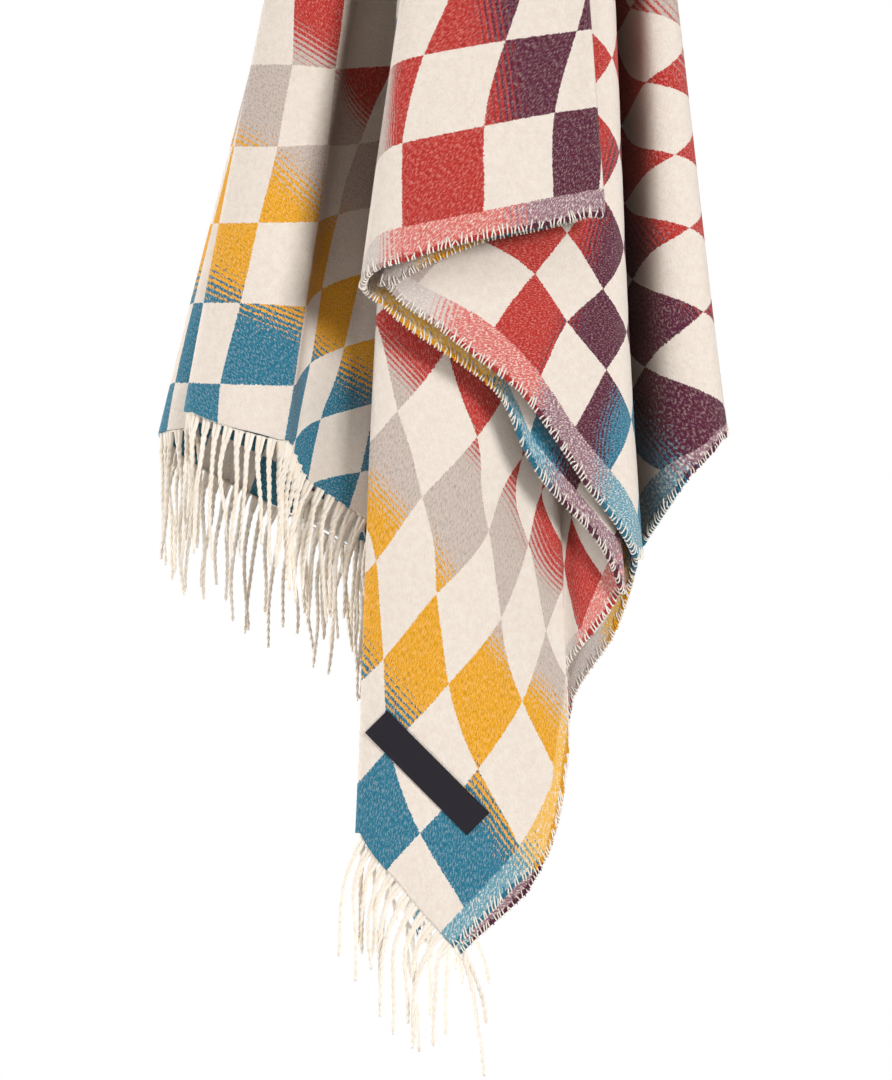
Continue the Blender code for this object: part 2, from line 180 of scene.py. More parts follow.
SEEN_CHECKS = {
    Patch.LEFT: SeenChecks(
        corners=(
            (293, 65, 13, 4), (278, 147, 13, 3), (259, 223, 13, 2), (241, 303, 13, 1), (221, 384, 13, 0),
            (334, 69, 14, 4), (326, 145, 14, 3), (318, 222, 14, 2), (305, 307, 14, 1), (293, 386, 14, 0),
            (284, 437, 14, -0.65), (254, 65, 12.35, 4), (207, 303, 12.45, 1), (189, 410, 12.5, -0.34),
        ),
        bands=((225, 290, 1.5), (304, 325, 1.5), (278, 163, 3.1), (317, 200, 3.1), (300, 42, 4.7),
               (334, 64, 4.7), (190, 408, 0.0), (285, 438, 0.0)),
    ),
    Patch.SHADE: SeenChecks(
        corners=(
            (394, 66, 15, 4), (359, 144, 15, 3), (334, 214, 15, 2), (309, 288, 15, 1), (334, 69, 14.2, 4),
            (361, 274, 16, 1), (343, 347, 16, 0), (313, 417, 16, -1), (296, 464, 16, -1.75),
            (361, 472, 17, -2), (377, 403, 17, -1), (369, 208, 15.8, 2), (301, 357, 15.1, 0),
        ),
        bands=((305, 350, 1.5), (338, 367, 1.5), (377, 386, 1.5), (320, 208, 3.1), (350, 228, 3.1),
               (338, 96, 4.7), (367, 122, 4.7), (300, 482, 0.0), (365, 514, 0.0)),
    ),
    Patch.TAIL: SeenChecks(
        corners=(
            (420, 833, 23, 0), (478, 769, 23, 1), (390, 747, 22, 0), (448, 684, 22, 1), (384, 659, 21, 0),
            (436, 594, 21, 1), (522, 701, 23, 2), (501, 618, 22, 2), (557, 772, 24, 2), (464, 907, 24, 0),
            (519, 846, 24, 1), (422, 497, 20, 1), (377, 561, 20, 0), (477, 437, 20, 2), (489, 531, 21, 2),
            (398, 411, 19, 1), (447, 349, 19, 2), (522, 457, 21, 3), (528, 543, 22, 3), (546, 631, 23, 3),
            (507, 392, 20, 3), (541, 492, 22, 4), (386, 871, 23, -0.6),
        ),
        bands=((385, 690, 1.5), (480, 792, 1.5), (515, 842, 1.5), (388, 500, 3.1), (440, 562, 3.1),
               (500, 648, 3.1), (545, 693, 3.1), (390, 355, 4.7), (475, 448, 4.7), (518, 502, 4.7),
               (542, 560, 4.7), (450, 940, 0.0), (372, 858, 0.0)),
    ),
    Patch.FLANK: SeenChecks(
        corners=(
            (602, 575, 24, 5), (567, 632, 24, 4), (556, 526, 23, 5), (541, 585, 23, 4), (624, 530, 24, 6),
        ),
        bands=((568, 668, 4.7), (548, 590, 4.7), (622, 590, 6.3), (605, 530, 6.3)),
    ),
    Patch.FRONT: SeenChecks(
        corners=(
            (402, 227, 24, 12), (484, 211, 24, 13), (554, 197, 24, 14), (605, 190, 24, 14.75),
            (402, 143, 23, 12), (484, 126, 23, 13), (555, 113, 23, 14), (424, 55, 22, 12), (505, 41, 22, 13),
            (576, 31, 22, 14), (449, 0, 21.35, 12), (520, 0, 21.5, 13),
        ),
        bands=((380, 240, 12.7), (368, 100, 12.7), (352, 0, 12.7), (515, 218, 14.3), (503, 100, 14.3),
               (488, 0, 14.3)),
    ),
    Patch.MIDDLE: SeenChecks(
        corners=(
            (495, 327, 24, 20), (535, 274, 23, 20), (567, 233, 22, 20), (541, 376, 24, 21),
            (567, 322, 23, 21), (602, 289, 22, 21), (574, 427, 24, 22), (605, 370, 23, 22),
            (609, 470, 24, 23), (418, 283, 24, 19), (439, 259, 23.5, 19),
        ),
        bands=((445, 305, 20.7), (470, 250, 20.7), (540, 392, 22.3), (566, 325, 22.3), (586, 252, 22.3),
               (600, 478, 23.9), (606, 420, 23.9)),
    ),
    Patch.RIGHT: SeenChecks(
        corners=(
            (720, 413, 0, 23), (662, 470, 0, 24), (702, 312, 1, 22), (647, 367, 1, 23), (688, 228, 2, 21),
            (633, 281, 2, 22), (674, 154, 3, 20), (619, 211, 3, 21), (647, 82, 4, 19), (604, 139, 4, 20),
        ),
        bands=((612, 190, 22.3), (664, 255, 22.3), (700, 300, 22.3), (610, 386, 23.9), (680, 472, 23.9),
               (645, 2, 20.7), (700, 65, 20.7)),
    ),
}


@dataclass(frozen=True)
class Wave:
    """A sway that all the layers share: its size in metres, and radians for each metre down and along."""

    size: float
    down: float
    along: float


@dataclass(frozen=True)
class PhotoView:
    """The camera that the photograph was matched with: it looks level along +Y."""

    distance: float = 3.15
    height: float = -0.9807
    lens: float = 150.0
    sensor: float = 36.0
    width: int = 892
    length: int = 1080

    def seen_at(self, points: np.ndarray) -> np.ndarray:
        """Tells where points of the object appear in the photograph.

        Args:
            points: an array whose last axis holds x, y and z.

        Returns:
            An array whose last axis holds the pixels across and down.
        """
        pixel = self.sensor / self.lens * self.distance / self.length
        near = self.distance / (self.distance + points[..., 1]) / pixel
        across = self.width / 2.0 + points[..., 0] * near
        down = self.length / 2.0 - (points[..., 2] - self.height) * near
        return np.stack((across, down), axis=-1)


def unit(vectors: np.ndarray) -> np.ndarray:
    """Scales vectors to a length of one."""
    return vectors / np.maximum(np.linalg.norm(vectors, axis=-1, keepdims=True), TINY)


def spline_weights(places: np.ndarray, count: int) -> list[tuple[np.ndarray, np.ndarray]]:
    """Gives, for a closed even cubic B-spline, the four lines that shape each place and their weights."""
    whole = np.floor(places).astype(int)
    part = places - whole
    weights = (
        (1.0 - part) ** 3 / 6.0,
        (3.0 * part ** 3 - 6.0 * part ** 2 + 4.0) / 6.0,
        (-3.0 * part ** 3 + 3.0 * part ** 2 + 3.0 * part + 1.0) / 6.0,
        part ** 3 / 6.0,
    )
    return [((whole + shift - 1) % count, weight) for shift, weight in enumerate(weights)]


def line_through(values: np.ndarray, places: np.ndarray) -> np.ndarray:
    """Reads the values straight from one control line to the next, so that corners stay sharp."""
    whole = np.floor(places).astype(int)
    part = places - whole
    count = len(values)
    return values[whole % count] * (1.0 - part) + values[(whole + 1) % count] * part


def read_at(values: np.ndarray, marks: np.ndarray) -> np.ndarray:
    """Reads an open row of values at the fractional numbers."""
    whole = np.minimum(np.floor(marks).astype(int), len(values) - 2)
    part = (marks - whole).reshape((-1,) + (1,) * (values.ndim - 1))
    return values[whole] * (1.0 - part) + values[whole + 1] * part


class SmoothMap:
    """A smooth sheet through values at scattered places, straight far away from them."""

    SCALE = 100.0
    SLACK = 0.002

    def __init__(self, places: np.ndarray, values: np.ndarray) -> None:
        """Fits the sheet.

        Args:
            places: one row of two numbers for each place.
            values: one row of numbers for each place.
        """
        self.places = places / self.SCALE
        count = len(places)
        frame_part = np.hstack((np.ones((count, 1)), self.places))
        whole = np.zeros((count + 3, count + 3))
        whole[:count, :count] = self.bend(self.places) + self.SLACK * np.eye(count)
        whole[:count, count:] = frame_part
        whole[count:, :count] = frame_part.T
        self.shares = np.linalg.solve(whole, np.vstack((values, np.zeros((3, values.shape[1])))))

    def bend(self, at: np.ndarray) -> np.ndarray:
        """Gives how strongly each of the fitted places bends the sheet at other places."""
        gaps = np.linalg.norm(at[:, None, :] - self.places[None, :, :], axis=2)
        return gaps ** 2 * np.log(np.maximum(gaps, NEARLY_NOTHING))

    def read(self, at: np.ndarray) -> np.ndarray:
        """Reads the sheet at an array of places whose last axis holds two numbers."""
        flat = at.reshape(-1, 2) / self.SCALE
        parts = np.hstack((self.bend(flat), np.ones((len(flat), 1)), flat))
        return (parts @ self.shares).reshape(at.shape[:-1] + (self.shares.shape[1],))


@dataclass(frozen=True)
class Drape:
    """How the cloth hangs: its folds run down from the hanging point, so every level is a closed loop."""

    thickness: float = 0.003
    neck_drop: float = 0.220
    shoulder_drop: float = 0.603
    shoulder_depth_share: float = 0.86
    neck_depth_share: float = 0.74
    apex_width_share: float = 0.06
    top_roundness: float = 0.6
    tip_drop: float = 0.006
    span_limit: float = 0.090
    bundle_middle: float = 0.010
    bundle_half_width: float = 0.145
    narrowest_bundle: float = 0.2
    widest_bundle: float = 1.4
    side_flattening: float = 0.22
    top_levels: int = 12
    body_levels: int = 20
    skirt_levels: int = 84
    skirt_crowding: float = 1.25
    samples_per_fold: int = 6
    samples_per_panel: int = 4
    wave_across: Wave = Wave(0.0020, 9.0, 6.0)
    waves_in_depth: tuple[Wave, ...] = (Wave(0.0020, 7.0, 16.0), Wave(0.0012, 15.0, -24.0))

    def control_lines(self) -> tuple[np.ndarray, dict[str, int], list[tuple[Crease, Crease, float]]]:
        """Lists the control lines of the loop.

        Returns:
            The lines, in metres; the number of the line at each crease; and, for each line, the creases
            before and after it and how far it is between them.
        """
        lines = []
        number_of = {}
        owners = []
        for index, crease in enumerate(CREASES):
            number_of[crease.name] = len(lines)
            following = CREASES[(index + 1) % len(CREASES)]
            lines.append(crease.line(crease.depth_in))
            owners.append((crease, following, 0.0))
            if crease.depth_out != crease.depth_in:
                lines.append(crease.line(crease.depth_out))
                owners.append((crease, following, 0.0))
            start = np.array(lines[-1], float)
            end = np.array(following.line(following.depth_in))
            span = math.hypot(end[1] - start[1], end[2] - start[2]) * MM
            pieces = max(1, math.ceil(span / self.span_limit))
            for piece in range(1, pieces):
                lines.append(tuple(start + (end - start) * piece / pieces))
                owners.append((crease, following, piece / pieces))
        return np.array(lines, float) * MM, number_of, owners

    def sample_places(self, lines: np.ndarray) -> np.ndarray:
        """Lists where the loop is sampled, as fractional line numbers, finer where the cloth turns back."""
        places = []
        for index, line in enumerate(lines):
            turns_back = np.allclose(line[:3], lines[(index + 1) % len(lines)][:3])
            count = self.samples_per_fold if turns_back else self.samples_per_panel
            places.extend(index + step / count for step in range(count))
        return np.array(places)

    def gathered(self, drops: np.ndarray) -> np.ndarray:
        """Tells how far the folds have opened at a drop below the top, as a share of that at the neck."""
        share = np.clip((drops + self.tip_drop) / (self.neck_drop + self.tip_drop), 0.0, 1.0)
        return share ** self.top_roundness

    def level_drops(self, lines: np.ndarray) -> list[np.ndarray]:
        """Lists, for each level from the top to the edge, how far below the top each line is there."""
        drops = []
        for level in range(self.top_levels + 1):
            drops.append(np.full(len(lines), self.neck_drop * (level / self.top_levels) ** 2))
        for level in range(1, self.body_levels + 1):
            reach = (self.shoulder_drop - self.neck_drop) * level / self.body_levels
            drops.append(np.full(len(lines), self.neck_drop + reach))
        for level in range(1, self.skirt_levels + 1):
            part = 1.0 - (1.0 - level / self.skirt_levels) ** self.skirt_crowding
            drops.append(self.shoulder_drop + (lines[:, 2] - self.shoulder_drop) * part)
        return drops

    def loop_at(self, lines: np.ndarray, drops: np.ndarray) -> tuple[np.ndarray, np.ndarray]:
        """Places the control lines across and in depth at one level. Above the neck they only gather."""
        opened = self.gathered(drops)
        drops = np.maximum(drops, self.neck_drop)
        shoulder, edge, edge_drop, edge_depth = lines.T
        below = np.clip((drops - self.shoulder_drop) / (edge_drop - self.shoulder_drop), 0.0, 1.0)
        above = np.clip(drops / self.shoulder_drop, 0.0, 1.0)
        slope_above = shoulder * (1.0 - self.apex_width_share) / self.shoulder_drop
        slope_below = (edge - shoulder) / (edge_drop - self.shoulder_drop)
        easing = (slope_below - slope_above) * above ** 2 * (above - 1.0) * self.shoulder_drop
        across = shoulder * (self.apex_width_share + (1.0 - self.apex_width_share) * above) + easing
        across = across + (edge - shoulder) * below
        neck = np.clip((drops - self.neck_drop) / (self.shoulder_drop - self.neck_drop), 0.0, 1.0)
        depth_share = self.neck_depth_share + (self.shoulder_depth_share - self.neck_depth_share) * neck
        depth_share = depth_share + (1.0 - self.shoulder_depth_share) * below
        return across * opened, edge_depth * depth_share * opened

    def settle(self, x: np.ndarray, y: np.ndarray, z: np.ndarray) -> np.ndarray:
        """Rounds the bundle at its sides and sways all the layers together, so that they stay apart."""
        low = np.clip(-z / self.shoulder_drop, 0.0, 1.0) ** 2
        share = np.clip(-z / self.shoulder_drop, self.narrowest_bundle, self.widest_bundle)
        side = np.clip(np.abs(x - self.bundle_middle) / (self.bundle_half_width * share), 0.0, 1.0)
        y = y * (1.0 - self.side_flattening * side ** 2 * low)
        wave = self.wave_across
        x = x + wave.size * low * np.sin(z * wave.down + y * wave.along)
        y = y + low * sum(wave.size * np.sin(z * wave.down + x * wave.along) for wave in self.waves_in_depth)
        return np.stack((x, y, z), axis=-1)


class Cloth:
    """The cloth's middle surface, with the checks and the distance to a woven side edge at every point."""

    CENTRE = np.array((12.0, 15.5, 16.0))
    ROWS_BEFORE_FIRST_CHECK = 0.5
    FARTHEST = 1.0
    FINER_DOWN = 4
    FINER_ALONG = 16

    def __init__(self, drape: Drape, view: PhotoView) -> None:
        """Works out the surface.

        Args:
            drape: how the cloth hangs.
            view: the view that the places of the seen checks are in.
        """
        self.drape = drape
        lines, self.number_of, self.owners = drape.control_lines()
        self.places = drape.sample_places(lines)
        weights = spline_weights(self.places, len(lines))
        grid = []
        for drops in drape.level_drops(lines):
            across, depth = drape.loop_at(lines, drops)
            x = sum(weight * across[numbers] for numbers, weight in weights)
            y = sum(weight * depth[numbers] for numbers, weight in weights)
            grid.append(drape.settle(x, y, -line_through(drops, self.places)))
        self.grid = np.array(grid)
        self.levels, self.count = self.grid.shape[:2]
        self.away = self.level_normals()
        self.checks = self.lay_checks(view, lines, weights)
        self.selvedge = self.side_distances()

    def level_normals(self) -> np.ndarray:
        """Gives the level direction out of the loop at each point."""
        grid = self.grid
        along = np.roll(grid, -1, axis=1) - np.roll(grid, 1, axis=1)
        down = np.empty_like(grid)
        down[1:-1] = grid[2:] - grid[:-2]
        down[0] = grid[1] - grid[0]
        down[-1] = grid[-1] - grid[-2]
        away = np.cross(down, along)
        away[..., 2] = 0.0
        return unit(away)

    def lay_checks(self, view: PhotoView, lines: np.ndarray, weights: list) -> np.ndarray:
        """Gives the column, row and band of the checks at each point.

        A hidden line's checks run evenly from the cloth's centre at the top to where it meets the edge.
        Those of a seen line are read from the photograph up to the shoulder, and then run to the centre.
        """
        drops = -self.grid[..., 2]
        shoulder = self.drape.top_levels + self.drape.body_levels
        pixels = view.seen_at(self.grid)
        seen = {}
        for patch, checks in SEEN_CHECKS.items():
            corners = np.array(checks.corners, float)
            bands = np.array(checks.bands, float)
            spots, places = corners[:, :2], pixels[shoulder:]
            if patch in OPENED_OUT:
                places = self.unrolled(patch)[shoulder:]
                spots = self.found(patch, np.concatenate((pixels[shoulder:], places), axis=2), spots)
            lattice = SmoothMap(spots, corners[:, 2:]).read(places)
            colours = SmoothMap(bands[:, :2], bands[:, 2:]).read(pixels[shoulder:])
            lower = np.concatenate((lattice, colours), axis=2)
            rise = (drops[:shoulder] / drops[shoulder])[..., None]
            upper = self.CENTRE + (lower[:1] - self.CENTRE) * rise
            seen[patch] = np.concatenate((upper, lower), axis=0)
        total = np.zeros(self.grid.shape)
        for numbers, weight in weights:
            total += weight[None, :, None] * self.checks_of_lines(numbers, drops, lines, seen)
        return total

    def stretch_of(self, patch: Patch) -> list[int]:
        """Lists the samples along the cloth's edge that a patch takes in."""
        names = [crease.name for crease in CREASES if crease.patch is patch]
        return self.samples_between(names[0], names[-1])

    def unrolled(self, patch: Patch) -> np.ndarray:
        """Opens the cloth out flat round the middle of a patch, in millimetres across and down."""
        samples = self.stretch_of(patch)
        middle = samples[len(samples) // 2]
        steps = np.linalg.norm(np.diff(self.grid[..., :2], axis=1), axis=2)
        along = np.concatenate((np.zeros((self.levels, 1)), np.cumsum(steps, axis=1)), axis=1)
        towards = np.sign(self.grid[-1, middle + 1, 0] - self.grid[-1, middle - 1, 0])
        across = self.grid[:, middle, None, 0] + towards * (along - along[:, middle, None])
        return np.stack((across, -self.grid[..., 2]), axis=-1) / MM

    def found(self, patch: Patch, both: np.ndarray, pixels: np.ndarray) -> np.ndarray:
        """Finds places of the photograph on a patch.

        Args:
            patch: the patch.
            both: the pixels and the places on the cloth of every point below the shoulder.
            pixels: one row of pixels across and down for each place.

        Returns:
            One row with the place on the cloth for each.
        """
        there = both[:, self.stretch_of(patch)]
        down, along = there.shape[:2]
        fine = read_at(there, np.linspace(0.0, down - 1.0, down * self.FINER_DOWN))
        fine = read_at(fine.swapaxes(0, 1), np.linspace(0.0, along - 1.0, along * self.FINER_ALONG))
        fine = fine.reshape(-1, 4)
        nearest = [np.argmin(np.linalg.norm(fine[:, :2] - pixel, axis=1)) for pixel in pixels]
        return fine[nearest, 2:]

    def checks_of_lines(self, numbers: np.ndarray, drops: np.ndarray, lines: np.ndarray,
                        seen: dict[Patch, np.ndarray]) -> np.ndarray:
        """Gives the checks at each point as the line with the given number for each sample has them."""
        result = np.empty(self.grid.shape)
        for sample, number in enumerate(numbers):
            crease, following, part = self.owners[number]
            if crease.patch is not Patch.NONE and (part == 0.0 or following.patch is crease.patch):
                opened = np.minimum(drops[:, sample] / self.drape.shoulder_drop, 1.0)
                result[:, sample] = seen[crease.patch][:, sample]
                result[:, sample, 0] += crease.columns_on * opened
                continue
            column = crease.column + (following.column - crease.column) * part
            row = crease.row + (following.row - crease.row) * part
            edge = np.array((column, row, row + self.ROWS_BEFORE_FIRST_CHECK))
            share = (drops[:, sample] / lines[number, 2])[:, None]
            result[:, sample] = self.CENTRE + (edge - self.CENTRE) * share
        return result

    def samples_between(self, first: str, last: str) -> list[int]:
        """Lists the samples along the cloth's edge from one crease to another, round the loop."""
        start = int(np.argmin(np.abs(self.places - self.number_of[first])))
        end = int(np.argmin(np.abs(self.places - self.number_of[last])))
        return [(start + step) % self.count for step in range((end - start) % self.count + 1)]

    def side_distances(self) -> np.ndarray:
        """Tells how far each point is from the nearest woven side edge.

        The loop is opened out flat for this, so that the other layers don't count.
        """
        edge = self.grid[-1]
        steps = np.linalg.norm(np.diff(edge[:, :2], axis=0, append=edge[:1, :2]), axis=1)
        along = np.concatenate(([0.0], np.cumsum(steps)))
        whole = along[-1]
        nearest = np.full(self.grid.shape[:2], self.FARTHEST)
        for first, last in SIDE_EDGES:
            samples = self.samples_between(first, last)
            for here, there in zip(samples[:-1], samples[1:]):
                start = np.array((along[here], edge[here, 2]))
                leg = np.array((steps[here], edge[there, 2] - edge[here, 2]))
                off = np.stack((along[None, :-1] - start[0] + 0.0 * self.grid[..., 2],
                                self.grid[..., 2] - start[1]), axis=-1)
                off[..., 0] -= whole * np.round(off[..., 0] / whole)
                part = np.clip((off @ leg) / max(leg @ leg, TINY), 0.0, 1.0)
                nearest = np.minimum(nearest, np.linalg.norm(off - part[..., None] * leg, axis=2))
        return nearest


OPENED_OUT = (Patch.FRONT, Patch.MIDDLE, Patch.RIGHT)
TUBE_SIDE = np.array((0.31, 1.0, 0.0))
SIDE_EDGES = (("front corner", "back corner"), ("far corner", "rear corner"))


def srgb(red: int, green: int, blue: int) -> tuple[float, float, float, float]:
    """Turns a colour as a screen shows it into the one that the renderer works with."""
    parts = [value / 255.0 for value in (red, green, blue)]
    parts = [part / 12.92 if part <= 0.04045 else ((part + 0.055) / 1.055) ** 2.4 for part in parts]
    return (parts[0], parts[1], parts[2], 1.0)


def math_operator(operation: str) -> Callable[["Signal", "Signal | float"], "Signal"]:
    """Makes a method of Signal that adds a Math node of one operation."""
    def method(self: "Signal", other: "Signal | float") -> "Signal":
        """Adds the Math node."""
        return self.math(operation, other)
    return method


@dataclass(frozen=True)
class Signal:
    """One output of a shader node, with arithmetic that adds the nodes it needs."""

    tree: "ShaderTree"
    socket: bpy.types.NodeSocket

    def math(self, operation: str, *others: "Signal | float") -> "Signal":
        """Adds a Math node of this signal and the others."""
        node = self.tree.add("ShaderNodeMath", {"operation": operation}, {})
        for index, value in enumerate((self,) + others):
            self.tree.feed(node.inputs[index], value)
        return Signal(self.tree, node.outputs[0])

    __add__ = __radd__ = math_operator("ADD")
    __sub__ = math_operator("SUBTRACT")
    __mul__ = __rmul__ = math_operator("MULTIPLY")
    __truediv__ = math_operator("DIVIDE")
    __lt__ = math_operator("LESS_THAN")
    __gt__ = math_operator("GREATER_THAN")

    def __rsub__(self, other: float) -> "Signal":
        """Subtracts this signal from a number."""
        return (self * -1.0) + other

    def floor(self) -> "Signal":
        """Rounds down."""
        return self.math("FLOOR")

    def modulo(self, divisor: float) -> "Signal":
        """Gives the remainder, never negative."""
        return self.math("FLOORED_MODULO", divisor)

    def to_and_fro(self, reach: float) -> "Signal":
        """Runs up and down between nothing and the reach."""
        return self.math("PINGPONG", reach)

    def clamp(self) -> "Signal":
        """Keeps the signal between nothing and one."""
        return self.math("MINIMUM", 1.0).math("MAXIMUM", 0.0)

    def ramp(self, start: float, gain: float) -> "Signal":
        """Rises from nothing at the start, by the gain for each unit of this signal, and stops at one."""
        return ((self - start) * gain).clamp()


@dataclass(frozen=True)
class Surface:
    """How a finish feels: metres for each unit of its height, its roughness and how much fuzz shows."""

    depth: float
    roughness: float
    sheen: float


class ShaderTree:
    """Builds the nodes of one material."""

    SPECULAR = 0.15
    SHEEN_ROUGHNESS = 0.6

    def __init__(self, name: str) -> None:
        """Makes an empty material with a Principled shader."""
        self.material = bpy.data.materials.new(name)
        self.material.use_nodes = True
        self.nodes = self.material.node_tree.nodes
        self.links = self.material.node_tree.links
        self.shader = self.nodes["Principled BSDF"]

    def feed(self, socket: bpy.types.NodeSocket, value: object) -> None:
        """Links a signal or a socket to an input, or sets the input to a plain value."""
        if isinstance(value, Signal):
            self.links.new(value.socket, socket)
        elif isinstance(value, bpy.types.NodeSocket):
            self.links.new(value, socket)
        else:
            socket.default_value = value

    def add(self, kind: str, settings: dict[str, object], inputs: dict[str, object]) -> bpy.types.Node:
        """Adds a node.

        Args:
            kind: the node's type.
            settings: the node's own properties.
            inputs: values, signals or sockets for its inputs by name.

        Returns:
            The node.
        """
        node = self.nodes.new(kind)
        for key, value in settings.items():
            setattr(node, key, value)
        for key, value in inputs.items():
            self.feed(node.inputs[key], value)
        return node

    def parts_of(self, name: str) -> tuple[Signal, Signal, Signal]:
        """Reads the three parts of one of the mesh's own values."""
        values = self.add("ShaderNodeAttribute", {"attribute_name": name}, {})
        apart = self.add("ShaderNodeSeparateXYZ", {}, {"Vector": values.outputs["Vector"]})
        return tuple(Signal(self, apart.outputs[key]) for key in ("X", "Y", "Z"))

    def noise(self, scale: float, vector: object = None, detail: float = 2.0, rough: float = 0.5) -> Signal:
        """Adds a noise between nothing and one, in the object's own metres unless a vector is given."""
        if vector is None:
            vector = self.add("ShaderNodeTexCoord", {}, {}).outputs["Object"]
        inputs = {"Vector": vector, "Scale": scale, "Detail": detail, "Roughness": rough}
        return Signal(self, self.add("ShaderNodeTexNoise", {}, inputs).outputs["Fac"])

    def vector(self, x: object, y: object, z: object = 0.0) -> bpy.types.NodeSocket:
        """Joins three signals or numbers into a vector."""
        return self.add("ShaderNodeCombineXYZ", {}, {"X": x, "Y": y, "Z": z}).outputs[0]

    def mix(self, share: object, first: object, second: object) -> bpy.types.NodeSocket:
        """Mixes two colours."""
        node = self.add("ShaderNodeMix", {"data_type": "RGBA"}, {})
        self.feed(node.inputs[0], share)
        self.feed(node.inputs[6], first)
        self.feed(node.inputs[7], second)
        return node.outputs[2]

    def bands(self, share: Signal, colours: tuple) -> bpy.types.NodeSocket:
        """Picks one of the colours in even steps as the signal runs from nothing to one."""
        node = self.add("ShaderNodeValToRGB", {}, {"Fac": share})
        ramp = node.color_ramp
        ramp.interpolation = "CONSTANT"
        while len(ramp.elements) < len(colours):
            ramp.elements.new(1.0)
        for index, colour in enumerate(colours):
            ramp.elements[index].position = index / len(colours)
            ramp.elements[index].color = colour
        return node.outputs["Color"]

    def feed_shader(self, inputs: dict[str, object]) -> None:
        """Feeds inputs of the Principled shader by name."""
        for key, value in inputs.items():
            self.feed(self.shader.inputs[key], value)

    def finish(self, colour: object, height: object, surface: Surface) -> None:
        """Feeds the shader.

        Args:
            colour: the base colour.
            height: how high the surface stands, as a signal.
            surface: how the finish feels.
        """
        bump = self.add("ShaderNodeBump", {}, {"Height": height, "Distance": surface.depth, "Strength": 1.0})
        self.feed_shader({
            "Base Color": colour,
            "Normal": bump.outputs["Normal"],
            "Roughness": surface.roughness,
            "Specular IOR Level": self.SPECULAR,
            "Sheen Weight": surface.sheen,
            "Sheen Roughness": self.SHEEN_ROUGHNESS,
        })


@dataclass(frozen=True)
class BandColours:
    """The colours of the yarn in the order in which they follow one another down the cloth."""

    teal: tuple = srgb(38, 122, 150)
    yellow: tuple = srgb(238, 170, 28)
    grey: tuple = srgb(203, 189, 180)
    red: tuple = srgb(192, 52, 46)
    purple: tuple = srgb(92, 35, 60)
    cream: tuple = srgb(240, 231, 221)
    first_change: float = 1.5
    rows_for_each: float = 1.6

    def in_order(self) -> tuple:
        """Lists the five colours from the first end of the cloth on."""
        return (self.teal, self.yellow, self.grey, self.red, self.purple)

    def hems_in_order(self) -> tuple:
        """Lists the paler colours that they turn into in the hems along the sides."""
        return (srgb(106, 162, 180), srgb(240, 188, 82), srgb(214, 205, 200), srgb(222, 124, 116),
                srgb(158, 122, 134))

    def pick(self, tree: ShaderTree, band: Signal, colours: tuple) -> bpy.types.NodeSocket:
        """Picks from the colours the one of the band that a number of rows from the first end lies in."""
        number = ((band - self.first_change) / self.rows_for_each).floor() + 1.0
        count = float(len(colours))
        return tree.bands((number.modulo(count) + 0.5) / count, colours)


